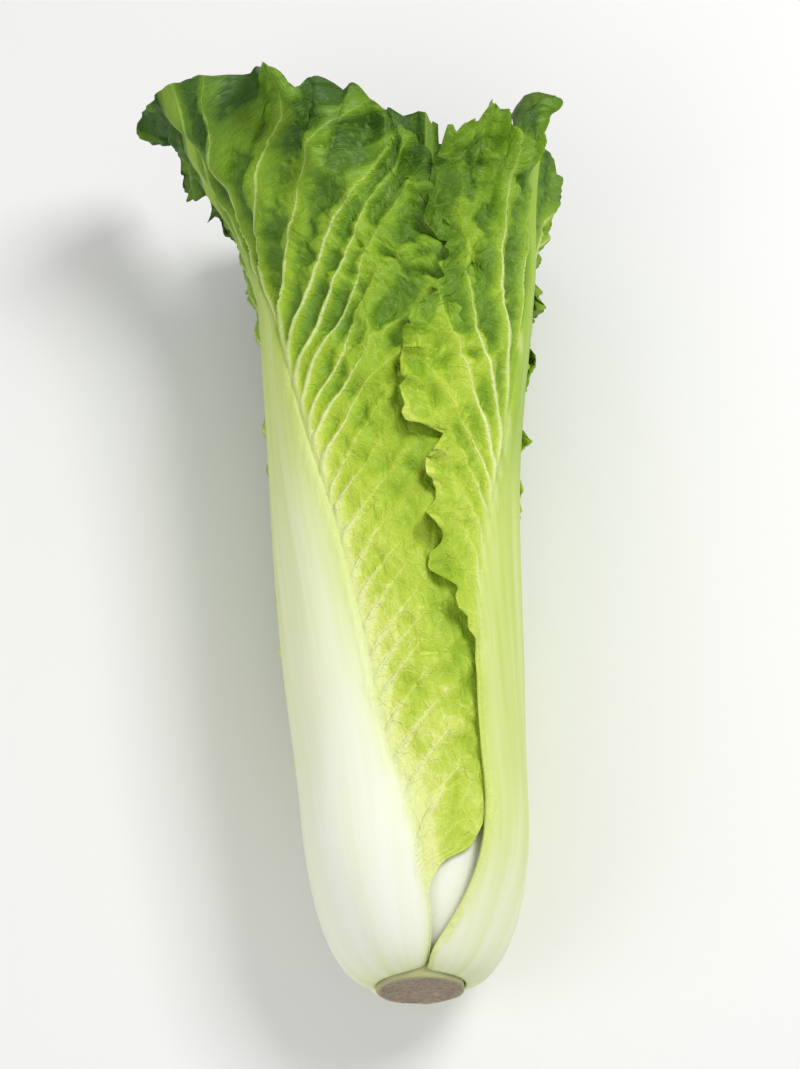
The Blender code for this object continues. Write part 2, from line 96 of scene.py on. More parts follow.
INNER_LEVELS = (0.0011, 0.0045)
HEART_LEVELS = (0.0008, 0.0026)
USUAL_TOP = (0.045, 4.5, 0.013)
TIP_WAVES = 11.0
OVERHANG = 0.009
OVERHANG_START = (0.372, 0.388)
OVERHANG_END = (0.40, 0.45)
PLEAT_LENGTH = 0.024
PLEAT_SLANT = 0.55
SHARED_WAVE = 0.0040
SHARED_WAVES_ROUND = 9
LEFT_RUFFLE_LENGTH = 0.034
RIGHT_RUFFLE_LENGTH = 0.029
SECOND_WHORL = 0.615
SECOND_LEAVES = (
    ("second_leaf_top", 16, 0.409, (2.9, 1.5, 1.2)),
    ("second_leaf_right", 136, 0.406, (1.3, 1.2, 0.9)),
    ("second_leaf_left", 256, 0.414, (2.4, 2.2, 0.7)),
)
THIRD_WHORL = 0.330
THIRD_LEAVES = (
    ("third_leaf_right", 76, 0.394, (1.0, 0.8, 0.5)),
    ("third_leaf_under", 196, 0.388, (1.0, 0.8, 0.2)),
    ("third_leaf_left", 316, 0.398, (2.1, 0.9, 0.5)),
)
HEART_LEAVES = (
    (20, 0.20, 0.372, -0.10),
    (140, 0.20, 0.366, -0.10),
    (260, 0.20, 0.375, -0.10),
    (80, 0.275, 0.355, -0.36),
    (260, 0.275, 0.350, -0.36),
)
CORE = (
    (0.0345, 0.0210), (0.050, 0.0262), (0.09, 0.0284), (0.20, 0.0300), (0.235, 0.0282), (0.27, 0.0225),
    (0.30, 0.0175), (0.325, 0.0110), (0.335, 0.0040),
)
CORE_SQUARENESS = 0.2

# Thickness of a blade here, thinner than the solid's, and the stump's worn rim.
SHEET = 0.0006
RIM_RADIUS = 0.0012
RIM_DEPTH = 0.0006

# What the leaf material reads on the heart's core, which shows no veins.
CORE_FACTS = {
    "beyond": 0.02,
    "number": 0.5,
    "gap": 0.01,
    "half_width": 0.0001,
    "height": 0.5,
    "stem": 0,
    "green": 0,
    "inside": 0,
}

# How the two front leaves really end: the outline of their lobes, finer than the solids have it.
LEFT_LOBES = (
    (-1.0, 0.078), (-0.80, 0.056), (-0.66, 0.038), (-0.56, 0.022), (-0.51, 0.011), (-0.47, 0.003),
    (-0.43, -0.001), (-0.39, 0.002), (-0.35, 0.004), (-0.30, -0.001), (-0.22, -0.004), (-0.14, -0.004),
    (-0.06, -0.001), (0.03, 0.000), (0.10, 0.004), (0.13, 0.005), (0.155, 0.007), (0.18, 0.014),
    (0.20, 0.019), (0.225, 0.019), (0.255, 0.0175), (0.29, 0.0160), (0.32, 0.0155), (0.35, 0.0155),
    (0.38, 0.0175), (0.41, 0.0215), (0.43, 0.027), (0.45, 0.029), (0.47, 0.026), (0.50, 0.026),
    (0.53, 0.030), (0.55, 0.033), (0.57, 0.030), (0.60, 0.031), (0.63, 0.037), (0.66, 0.041), (0.69, 0.042),
    (0.72, 0.046), (0.75, 0.049), (0.78, 0.049), (0.82, 0.053), (0.86, 0.057), (0.90, 0.068), (0.94, 0.077),
    (1.0, 0.094),
)
RIGHT_LOBES = (
    (-1.0, 0.047), (-0.93, 0.045), (-0.86, 0.042), (-0.82, 0.036), (-0.76, 0.031), (-0.67, 0.031),
    (-0.60, 0.027), (-0.555, 0.028), (-0.50, 0.031), (-0.46, 0.036), (-0.42, 0.037), (-0.37, 0.036),
    (-0.33, 0.029), (-0.29, 0.018), (-0.24, 0.017), (-0.19, 0.014), (-0.14, 0.011), (-0.09, 0.012),
    (-0.03, 0.016), (0.015, 0.022), (0.05, 0.033), (0.10, 0.031), (0.16, 0.027), (0.24, 0.026),
    (0.30, 0.031), (0.34, 0.034), (0.40, 0.029), (0.48, 0.029), (0.56, 0.036), (0.64, 0.032), (0.72, 0.032),
    (0.80, 0.042), (0.88, 0.040), (1.0, 0.052),
)

# Where the front leaves' ribs and margins run, and the frilled left edge of the right one, as angles.
LEFT_RIB_LINE = (
    (0.0, -50), (0.10, -50), (0.15, -55), (0.20, -60), (0.25, -66), (0.29, -68), (0.32, -70), (0.34, -77),
    (0.36, -85), (0.385, -87), (0.40, -82), (0.415, -72), (0.43, -63), (0.46, -56),
)
LEFT_RIB = (
    (0.0, 58), (0.04, 56), (0.06, 50), (0.09, 40), (0.11, 37), (0.14, 36.5), (0.16, 35.5), (0.185, 33.5),
    (0.21, 31.5), (0.25, 25.5), (0.29, 18), (0.32, 11), (0.34, 6.5), (0.36, 4), (0.40, 2.6), (0.46, 1.5),
)
LEFT_LEAF_LEFT = (
    (0.0, 59), (0.04, 58), (0.075, 60), (0.10, 64), (0.15, 71), (0.20, 77), (0.28, 79), (0.33, 62),
    (0.36, 47), (0.39, 40), (0.42, 38), (0.48, 38),
)
LEFT_LEAF_RIGHT = (
    (0.0, 59), (0.030, 57.5), (0.050, 58.5), (0.054, 62), (0.0575, 68), (0.060, 77), (0.066, 83),
    (0.074, 88), (0.09, 93), (0.15, 93), (0.20, 92), (0.30, 91), (0.36, 91), (0.48, 86),
)
RIGHT_LEAF_SPAN = (
    (0.0, 63), (0.03, 62), (0.06, 44), (0.10, 40), (0.145, 34), (0.17, 42), (0.19, 47), (0.215, 44),
    (0.235, 41), (0.255, 51), (0.30, 52), (0.32, 46), (0.345, 40), (0.38, 40), (0.48, 42),
)
RIGHT_LEAF_RIGHT = (
    (0.0, 58), (0.03, 57), (0.05, 56), (0.075, 58), (0.10, 63), (0.15, 72), (0.20, 80), (0.30, 84),
    (0.38, 80), (0.48, 66),
)
UNDER_LEAF_LEFT = (
    (0.0, 59), (0.04, 58), (0.075, 60), (0.10, 62), (0.15, 66), (0.20, 67), (0.30, 72), (0.38, 76),
    (0.48, 66),
)
RIGHT_LEAF_LEFT = (
    (0.0, 63), (0.02, 62), (0.036, 52), (0.05, 43.5), (0.07, 38.5), (0.10, 37), (0.145, 34), (0.17, 42),
    (0.48, 42),
)
RIGHT_RIB_LINE = (
    (0.0, 72), (0.06, 75), (0.10, 72), (0.15, 67), (0.185, 64), (0.22, 63.3), (0.26, 64.5), (0.30, 67),
    (0.35, 69), (0.42, 71), (0.48, 71),
)
RIGHT_RIB = (
    (0.0, 62), (0.02, 60), (0.036, 50), (0.05, 42.5), (0.07, 37.5), (0.10, 36), (0.15, 32), (0.185, 26),
    (0.22, 17), (0.237, 12.8), (0.258, 9.8), (0.28, 8.4), (0.30, 7.2), (0.33, 5.4), (0.36, 4), (0.40, 2.8),
    (0.48, 1.2),
)
RIGHT_LEAF_EDGE = (
    (0.125, 33.5), (0.140, 34.5), (0.147, 34), (0.150, 31), (0.156, 29), (0.158, 25), (0.163, 23.5),
    (0.169, 26), (0.171, 24), (0.174, 19), (0.177, 15), (0.181, 13.5), (0.187, 15), (0.1885, 19),
    (0.192, 20), (0.194, 16), (0.198, 13.5), (0.204, 12.5), (0.209, 14), (0.212, 18), (0.215, 18),
    (0.218, 14.5), (0.224, 12.5), (0.230, 13.5), (0.236, 16), (0.241, 21), (0.2425, 20), (0.2435, 12),
    (0.2455, 5), (0.250, 3), (0.255, 4.5), (0.259, 3), (0.264, 2), (0.268, 5), (0.272, 3), (0.279, 2.5),
    (0.284, 5), (0.288, 4), (0.294, 3.5), (0.300, 7), (0.304, 5.5), (0.310, 7), (0.315, 13), (0.320, 12),
    (0.326, 18), (0.331, 15), (0.339, 21), (0.345, 17), (0.352, 22), (0.36, 20), (0.37, 22),
)

# Side veins of the two front leaves: from the rib's side outward, each as (station, angle round the head).
LEFT_LEAF_VEINS = (
    ((0.375, -80), (0.39, -78), (0.405, -70), (0.42, -63), (0.44, -57)),
    ((0.345, -73), (0.365, -74), (0.385, -68), (0.405, -60), (0.43, -52)),
    ((0.315, -56), (0.33, -62), (0.345, -66), (0.362, -59), (0.376, -52), (0.394, -46), (0.400, -39),
     (0.43, -30)),
    ((0.29, -50), (0.317, -52), (0.332, -47), (0.351, -43), (0.370, -37), (0.383, -29), (0.393, -19),
     (0.405, -8)),
    ((0.28, -48), (0.294, -48), (0.306, -43), (0.320, -36), (0.335, -30), (0.349, -24), (0.358, -17),
     (0.39, 1)),
    ((0.265, -45), (0.278, -45), (0.287, -41), (0.307, -31), (0.319, -26), (0.339, -18), (0.356, -12),
     (0.385, 6)),
    ((0.25, -42), (0.266, -42), (0.283, -35), (0.296, -27), (0.312, -19), (0.330, -13), (0.348, -5), (0.37, 8)),
    ((0.24, -40), (0.256, -39), (0.270, -33), (0.285, -22), (0.309, -14), (0.326, -6), (0.336, 8), (0.345, 20)),
    ((0.23, -38), (0.248, -36), (0.261, -28), (0.277, -16), (0.292, -9), (0.300, 2), (0.312, 18)),
    ((0.22, -35), (0.236, -33), (0.254, -22), (0.267, -15), (0.276, -6), (0.290, 10)),
    ((0.205, -32), (0.222, -30), (0.236, -22), (0.253, -11), (0.266, -2), (0.280, 16)),
    ((0.197, -30), (0.213, -28), (0.235, -12), (0.256, 2), (0.270, 18)),
    ((0.185, -28), (0.200, -25), (0.214, -13), (0.230, 0), (0.245, 12), (0.260, 26)),
)
RIGHT_LEAF_VEINS = (
    ((0.295, 61), (0.32, 57), (0.35, 56), (0.39, 58)),
    ((0.242, 53.5), (0.255, 54.5), (0.268, 53), (0.288, 49.5), (0.307, 46), (0.319, 43), (0.340, 43),
     (0.38, 46),
     (0.41, 42)),
    ((0.235, 50.5), (0.249, 50.5), (0.263, 46.5), (0.273, 42), (0.281, 39), (0.290, 35), (0.31, 30),
     (0.34, 26)),
    ((0.222, 47), (0.234, 47), (0.243, 43.5), (0.254, 38.5), (0.264, 34.5), (0.28, 28), (0.30, 20), (0.33, 14)),
    ((0.211, 44.5), (0.222, 44), (0.232, 39.5), (0.243, 34), (0.257, 26), (0.275, 15)),
    ((0.199, 42), (0.210, 41.5), (0.219, 37.5), (0.228, 33), (0.24, 26), (0.256, 16)),
    ((0.187, 39.5), (0.199, 39), (0.209, 34), (0.221, 26), (0.236, 16)),
    ((0.174, 36.5), (0.187, 36.5), (0.197, 31.5), (0.207, 24.5), (0.22, 13)),
    ((0.158, 35.5), (0.171, 35.5), (0.181, 30), (0.192, 21)),
)

# Other side veins leave a rib this far apart, and turn outward by these degrees per metre at their station.
VEIN_SPACING = 0.0125
VEIN_TURN = ((0.04, 1050), (0.15, 950), (0.22, 640), (0.30, 330), (0.38, 200))
VEIN_HALF_WIDTH = 0.0015
VEIN_HEIGHT = 0.0010
DEEPEST_PLEAT = 0.0046

# Between these stations the blade's folds grow, and over this last share of its rows the leaf's top curls.
UPPER_BLADE = (0.17, 0.36)
LEAF_TOP = (0.80, 1)
LEAST_BLADE = 1.5
TIP_BEATS = 3.4
TIP_LOBES = ((45 / 6.5, 0.0045), (117 / 6.5, 0.0012))
FRILL_LENGTH = 0.021
LOBE_LENGTH = 0.021
TOOTH_LENGTH = 0.0075

# Sizes of the blade's puckers, crumples and creases, across the leaf and along it, and of what bends them.
BIG_PUCKER = (0.0125, 0.0135)
SMALL_PUCKER = (0.0062, 0.0066)
BIG_CRUMPLE = (0.020, 0.022)
SMALL_CRUMPLE = (0.011, 0.010)
CREASE = (0.015, 0.013)
WARP_SIZE = 0.014

# The stations between which side veins leave the ribs, and those of the left front leaf's low ones.
VEIN_STATIONS = (0.07, 0.34)
LOW_VEIN_STATIONS = (0.06, 0.176)

# The stump's cut: how deep it is sunken and how rough it is. Its side ends just inside the leaves' bowl.
CUT_DEPTH = 0.0007
CUT_ROUGHNESS = 0.0004
STUMP_SIDE = STUMP_LENGTH - 0.0022

# Rings and sides of the stump and of the core, and the grid of a heart leaf.
STUMP_GRID = (26, 14, 120)
CORE_GRID = (90, 72)
HEART_GRID = (81, 4, 16, 16)
FLOOR_HALF = 4


def curve(where, points):
    """A smooth curve through (place, value) points, level beyond its ends."""
    places, values = np.array(points, float).T
    slopes = np.gradient(values, places)
    where = np.clip(where, places[0], places[-1])
    i = np.clip(np.searchsorted(places, where) - 1, 0, len(places) - 2)
    step = places[i + 1] - places[i]
    t = (where - places[i]) / step
    return (
        values[i] * (1 + 2 * t) * (1 - t) ** 2
        + slopes[i] * step * t * (1 - t) ** 2
        + values[i + 1] * t**2 * (3 - 2 * t)
        + slopes[i + 1] * step * t**2 * (t - 1)
    )


def ramp(where, start, end):
    """0 before start, 1 after end, smooth between."""
    t = np.clip((where - start) / (end - start), 0, 1)
    return t * t * (3 - 2 * t)


def wave(where, length, shift):
    return np.sin(2 * math.pi * where / length + shift)


def hashed(x, y, seed):
    """A repeatable number from 0 to 1 for each whole x and y."""
    n = (x.astype(np.int64) * 374761393 + y.astype(np.int64) * 668265263 + int(seed) * 144269504) & 0x7FFFFFFF
    n = ((n ^ (n >> 13)) * 1274126177) & 0x7FFFFFFF
    n = ((n ^ (n >> 15)) * 668265263) & 0x7FFFFFFF
    return (n ^ (n >> 16)) / 0x7FFFFFFF


def noise(x, y, seed):
    """Smooth noise from -1 to 1 with features about one unit across."""
    x, y = np.broadcast_arrays(x, y)
    left, low = np.floor(x), np.floor(y)
    tx, ty = x - left, y - low
    tx = tx**3 * (tx * (tx * 6 - 15) + 10)
    ty = ty**3 * (ty * (ty * 6 - 15) + 10)
    bottom = hashed(left, low, seed) * (1 - tx) + hashed(left + 1, low, seed) * tx
    top = hashed(left, low + 1, seed) * (1 - tx) + hashed(left + 1, low + 1, seed) * tx
    return 2 * (bottom * (1 - ty) + top * ty) - 1


def cushions(x, y, seed):
    """Domes from 0 to 1 with narrow creases between them, about one unit across."""
    x, y = np.broadcast_arrays(x, y)
    left, low = np.floor(x), np.floor(y)
    first = np.full(x.shape, 9.0)
    second = np.full(x.shape, 9.0)
    for across in (-1, 0, 1):
        for up in (-1, 0, 1):
            cell_x, cell_y = left + across, low + up
            away_x = cell_x + hashed(cell_x, cell_y, seed) - x
            away_y = cell_y + hashed(cell_x, cell_y, seed + 57) - y
            away = np.sqrt(away_x**2 + away_y**2)
            second = np.minimum(second, np.maximum(first, away))
            first = np.minimum(first, away)
    return 1 - np.exp(-4.5 * (second - first))


def round_square(angle):
    """How far a rounded square with a unit half side reaches at an angle."""
    return (np.abs(np.sin(angle)) ** SQUARENESS + np.abs(np.cos(angle)) ** SQUARENESS) ** (-1 / SQUARENESS)


def axis_height(station):
    """Height of the head's axis, so that the outside lies on the surface."""
    return curve(np.maximum(station, BOWL_TOP), OUTSIDE) - PRESSED_FLAT


def head_point(depth, degrees, station, flare, lift, floor):
    """Points of the head. Lift is the height over the depth's own surface, and floor is the lowest z."""
    start = BOWL_START[0] + depth * (BOWL_START[1] - BOWL_START[0])
    height = BOWL_HEIGHT[0] + depth * (BOWL_HEIGHT[1] - BOWL_HEIGHT[0])
    turn = np.clip(station / (start + height), 0, 1) * math.pi / 2
    along = np.where(turn < math.pi / 2, start + height * (1 - np.cos(turn)), station)
    inside = curve(along, INSIDE)
    body = inside + depth * (curve(along, OUTSIDE) - inside)
    stalk_root = STUMP_RADIUS + GAP
    radius = stalk_root + (body - stalk_root) * np.sin(turn)
    slope = np.arctan2((body - stalk_root) * np.cos(turn), height * np.sin(turn))

    angle = np.radians(degrees)
    from_top = np.abs((degrees + 180) % 360 - 180)
    squareness = HEART_SQUARENESS + (1 - HEART_SQUARENESS) * np.clip(depth, 0, 1)
    radius = radius * (1 + ramp(along, 0.01, 0.06) * squareness * (round_square(angle) - 1))

    free = 1 - ramp(from_top, FLARE_FREE_ANGLE, FLARE_BLOCKED_ANGLE)
    bend = np.maximum(flare * free, LEAST_FLARE)
    beyond = np.maximum(along - FLARE_STATION, 0)
    slope = slope + bend * beyond
    radius = radius + (1 - np.cos(bend * beyond)) / bend + lift * np.cos(slope)
    z = np.maximum(axis_height(along) + radius * np.cos(angle), floor)
    along = np.minimum(along, FLARE_STATION) + np.sin(bend * beyond) / bend - lift * np.sin(slope)
    x = radius * np.sin(angle) + curve(along, AXIS_BOW) - MIDDLE_X
    return np.stack([x, along - MIDDLE_Y, z], axis=-1)


def lobes(place, seed):
    """Rounded lobes from 0 to 1 with sharp notches, one for each whole place, all of different depth."""
    place = place + 0.25 * noise(place * 0.7, seed, seed + 8)
    number = np.floor(place)
    depth = 0.45 + 0.55 * hashed(number, 0 * number, seed)
    return 1 - depth * np.abs(2 * (place - number) - 1) ** 2.2


def leaf_offsets(leaf, stations, columns, rib, margin):
    """Angles from the rib's middle for each row and column of points, with lobed and toothed margins."""
    evenly = columns * margin
    on_rib = np.clip(np.abs(columns) / RIB_SHARE, 0, 1)
    on_blade = np.clip((np.abs(columns) - RIB_SHARE) / (1 - RIB_SHARE), 0, 1)
    by_rib = np.sign(columns) * (on_rib * rib + on_blade * (margin - rib))
    offsets = evenly + ramp(stations, 0.03, 0.09) * (by_rib - evenly)
    side = np.sign(columns)
    seed = leaf.seed
    lobe = leaf.lobes * (lobes(stations / LOBE_LENGTH + 3 * side, seed + 11) - 0.7)
    tooth = 0.7 * leaf.teeth * (lobes(stations / TOOTH_LENGTH + 5 * side, seed + 12) - 0.7)
    plain = np.where(columns < 0, leaf.edge is None, True)
    cut = plain * lobe * ramp(np.abs(columns), 0.6, 1) + tooth * ramp(np.abs(columns), 0.8, 1)
    return offsets + side * cut * ramp(stations, 0.10, 0.15)


def shortening(leaf, spread):
    """How far a leaf's end falls short of its length across its spread."""
    if leaf.fan:
        return curve(spread, leaf.fan)
    drop, tops, depth = USUAL_TOP
    return drop * np.abs(spread) ** 2.5 + depth * (1 - np.abs(np.cos(tops * spread + leaf.seed)))


def blade_level(leaf, stations, offsets, thick, edge_thick, across_blade):
    """How far the middle of the blade lies under the rib's outer face."""
    left_level, right_level = leaf.levels
    within_stalk = np.minimum(right_level, thick - edge_thick / 2)
    right_level = within_stalk + ramp(stations, 0.09, 0.15) * (right_level - within_stalk)
    level = np.where(offsets < 0, left_level, right_level)
    flush_inside = thick - 0.6 * SHEET
    dips_from = np.where(offsets < 0, LEFT_DIP_STATION, RIGHT_DIP_STATION)
    dip = np.where(offsets < 0, np.minimum(flush_inside, DEEPEST_LEFT_DIP), flush_inside)
    beside_rib = level + ramp(stations, dips_from, dips_from + DIP_LENGTH) * (dip - level)
    return beside_rib + ramp(across_blade, 0, DIP_WIDTH) * (level - beside_rib)


def leaf_waves(leaf, degrees, stations, spread, across, beyond_rib, rows):
    """The solid's own waves: pleats, ruffled margins and the waves that neighbouring leaves share."""
    seed = leaf.seed
    on_blade = ramp(beyond_rib, 0, 12)
    chevron = stations - PLEAT_SLANT * np.abs(across)
    pleats = leaf.pleats * on_blade * ramp(stations, 0.10, 0.2) * wave(chevron, PLEAT_LENGTH, seed)
    shared = SHARED_WAVE * ramp(stations, 0.32, 0.44) * on_blade * (0.4 + 0.6 * leaf.depth)
    shared = shared * np.sin(np.radians(degrees) * SHARED_WAVES_ROUND + 25 * stations + 2 * leaf.depth)

    left, right, tip = leaf.ruffles
    near_side = ramp(np.abs(spread), 0.62, 1)
    left = left * ramp(stations, 0.10, 0.2) * (0.5 + 0.5 * wave(stations, LEFT_RUFFLE_LENGTH, 1.7 * seed))
    right = right * ramp(stations, 0.12, 0.2) * wave(stations, RIGHT_RUFFLE_LENGTH, seed)
    near_tip = ramp(rows, 0.80, 1) * (1 - 0.75 * near_side)
    tip = tip * near_tip * np.sin(spread * TIP_WAVES + 2.3 * seed)
    swell = ramp(stations, *OVERHANG_START) * (1 - ramp(stations, *OVERHANG_END)) * ramp(-spread, 0.15, 0.4)
    return pleats + shared + near_side * np.where(spread < 0, left, right) + tip + leaf.overhang * swell


def usual_veins(leaf, side, first, last):
    """Tables of side veins that leave one side of a rib between two stations, the highest first."""
    draws = np.random.default_rng(int(leaf.seed * 2 + (side > 0)))
    tables = []
    start = last
    while start > first:
        edge = side * float(curve(start, leaf.rib_line) + side * curve(start, leaf.rib))
        turn = float(np.interp(start, *np.array(VEIN_TURN).T)) * draws.uniform(0.9, 1.12)
        steps = np.array([0.0, 0.008, 0.022, 0.040, 0.060])
        grown = edge + turn * (steps - 0.004 * (1 - np.exp(-steps / 0.006)))
        tables.append(tuple(zip(start + steps, side * grown)))
        start -= VEIN_SPACING * draws.uniform(0.8, 1.25)
    return tuple(tables)


def vein_field(tables, side, stations, degrees, wide):
    """The vein number at each point, whole on a vein, with the gap there and the nearest vein's strength."""
    places = []
    along_vein = []
    steps = []
    weights = []
    for table in tables:
        where, angles = np.array(table, float).T
        angles = side * angles
        before = (where[0] - 0.4, angles[0] - 60)
        slope = max((angles[-1] - angles[-2]) / (where[-1] - where[-2]), 150)
        after = (where[-1] + 0.3, angles[-1] + 0.3 * slope)
        knots = np.array([before, *zip(where, angles), after])
        wiggle = 0.5 * noise(stations / 0.030, where[0] * 1000, 88)
        place = np.interp(stations, *knots.T) + wiggle
        if places:
            place = np.maximum(place, places[-1] + 1.2)
        places.append(place)
        steps.append(np.interp(stations + 0.002, *knots.T) - np.interp(stations - 0.002, *knots.T))
        high = float(ramp(where[0], 0.17, 0.26))
        along_vein.append((stations - where[0]) / ((where[-1] - where[0]) * (0.42 + 0.58 * high)))
        weights.append(0.74 + 0.51 * high)
    places = np.array([places[0] - 7, *places, places[-1] + 16])
    steps = np.array([steps[0], *steps, steps[-1]])
    along_vein = np.array([9 + 0 * stations, *along_vein, 9 + 0 * stations])
    turned = side * degrees
    number = np.zeros_like(stations)
    for low, high in zip(places[:-1], places[1:]):
        number = number + np.clip((turned - low) / (high - low), 0, 1)
    number = np.clip(number, 0.5, len(places) - 1.5)
    low = np.clip(np.floor(number).astype(int), 0, len(places) - 2)
    nearest = np.round(number).astype(int)

    def pick(values, index):
        return np.take_along_axis(values, index[None], 0)[0]

    gap = pick(places, low + 1) - pick(places, low)
    part = number - low
    slope = np.radians(pick(steps, low) * (1 - part) + pick(steps, low + 1) * part) * wide / 0.004
    gap = np.radians(gap) * wide / np.sqrt(1 + slope**2)
    far = pick(along_vein, nearest)
    strength = (1 - 0.8 * np.clip(far, 0, 1) ** 0.8) * (1 - ramp(far, 0.9, 1.25)) * (far < 5)
    weight = np.array([0.5, *weights, 0.5])[nearest]
    strength = strength * weight * (0.6 + 0.4 * hashed(nearest, nearest * 0, 31))
    return number, gap, strength


def leaf_veins(leaf, stations, degrees, wide, on_left):
    """The vein field of both sides of a leaf."""
    left = leaf.left_veins or usual_veins(leaf, -1, *VEIN_STATIONS)
    right = leaf.right_veins or usual_veins(leaf, 1, *VEIN_STATIONS)
    if leaf.low_veins:
        right = right + usual_veins(leaf, 1, *LOW_VEIN_STATIONS)
    left_field = vein_field(left, -1, stations, degrees, wide)
    right_field = vein_field(right, 1, stations, degrees, wide)
    return [np.where(on_left, a, b) for a, b in zip(left_field, right_field)]


def leaf_layout(leaf, rows, columns):
    """Where a leaf's grid lies: stations, angles, offsets from the rib, half rib and spread over the leaf."""
    seed, length = leaf.seed, leaf.length
    stations = leaf.root + rows * (length - leaf.root)
    rib = curve(stations, leaf.rib)
    shift = curve(stations, leaf.rib_line) - curve(stations, leaf.line)
    left, right = curve(stations, leaf.left), curve(stations, leaf.right)
    left_margin = (curve(stations, leaf.left_cut) if leaf.left_cut else left) + shift
    if leaf.edge:
        cut = curve(stations, leaf.rib_line) - np.interp(stations, *np.array(leaf.edge).T)
        in_reach = ramp(stations, 0.115, 0.13) * (1 - ramp(stations, 0.365, 0.385))
        left_margin = left_margin + in_reach * (cut - left_margin)
    margin = np.maximum(np.where(columns < 0, left_margin, right - shift), rib + LEAST_BLADE)
    offsets = leaf_offsets(leaf, stations, columns, rib, margin)
    from_line = offsets + shift
    left_span = curve(stations, leaf.left_span or leaf.left)
    spread = from_line / np.where(from_line < 0, left_span, right)

    short = shortening(leaf, spread[-1:])
    for salt, (beats, depth) in enumerate(TIP_LOBES):
        short = short - depth * leaf.teeth * (lobes(spread[-1:] * beats, seed + 41 + salt) - 0.6)
    stations = stations - ramp(stations, 0.6 * length, length) * short
    degrees = curve(stations, leaf.line) + from_line
    return stations, degrees, offsets, rib, np.clip(spread, -1.1, 1.1)


def blade_waves(leaf, stations, across, across_blade, number, gap, calm, rows):
    """Folds between the side veins, puckers and crumples of a blade."""
    seed = leaf.seed
    upper = ramp(stations, *UPPER_BLADE)
    on_blade = ramp(across_blade, 0.0, 0.008)
    pleat = np.minimum(leaf.vein_pleat * gap, DEEPEST_PLEAT) * (0.22 + 0.78 * upper)
    waves = pleat * 0.5 * np.cos(2 * math.pi * number) * on_blade
    warp = 0.5 * noise(across / WARP_SIZE, stations / WARP_SIZE, seed + 4)
    slanted = stations - 0.5 * np.abs(across)
    puckers = cushions(across / BIG_PUCKER[0] + warp, slanted / BIG_PUCKER[1] - warp, seed + 5)
    small = cushions(across / SMALL_PUCKER[0] - warp, stations / SMALL_PUCKER[1] + warp, seed + 6)
    bulge = 0.62 * puckers + 0.42 * small - 0.52
    waves = waves + calm * leaf.puckers * on_blade * bulge * (0.6 + 0.8 * upper)
    crumple = noise(across / BIG_CRUMPLE[0] + 0.4 * warp, stations / BIG_CRUMPLE[1], seed + 9)
    small_crumple = noise(across / SMALL_CRUMPLE[0], stations / SMALL_CRUMPLE[1] + warp, seed + 10)
    crumple = crumple + 0.6 * small_crumple
    crease = np.abs(noise(across / CREASE[0] + warp, stations / CREASE[1] - warp, seed + 12)) - 0.3
    crumple = (crumple + 1.5 * crease) * (0.8 + 0.9 * upper + 0.7 * ramp(rows, 0.75, 0.95))
    return waves + calm * leaf.crumple * ramp(across_blade, 0.004, 0.02) * crumple


def margin_frill(leaf, stations, columns):
    """How far the frilled side margins lift and slide along the head."""
    side = np.sign(columns)
    near_side = ramp(np.abs(columns), 0.66, 1)
    left_frill, right_frill = leaf.frill
    size = np.where(columns < 0, left_frill, right_frill) * ramp(stations, 0.12, 0.17)
    size = size * (0.75 + 0.5 * noise(stations / 0.02, side, leaf.seed + 52))
    swing = 2 * math.pi * (stations / FRILL_LENGTH + 0.5 * noise(stations / 0.030, side, leaf.seed + 50))
    lift = size * near_side**1.5 * (0.55 + 0.45 * np.sin(swing) + 0.2 * np.sin(2.7 * swing))
    return lift, 0.40 * size * near_side**2 * np.cos(swing)


def tip_curl(leaf, rows, columns, spread):
    """How far the leaf's top lifts and sways sideways."""
    near_top = ramp(rows, *LEAF_TOP)
    near_tip = near_top * (1 - 0.5 * ramp(np.abs(columns), 0.66, 1))
    curl = leaf.tip_curl
    swing = 2 * math.pi * (spread * TIP_BEATS + 0.25 * noise(spread * 4.5, rows * 3, leaf.seed + 61))
    lift = leaf.tip_lean * near_top * (1 - ramp(spread, *leaf.lean_until))
    lift = lift + curl * near_tip**1.4 * np.sin(swing)
    lift = lift + 0.35 * curl * near_tip**1.2 * np.sin(2.6 * swing + 1)
    return lift, 0.75 * curl * near_tip**2 * np.cos(swing)


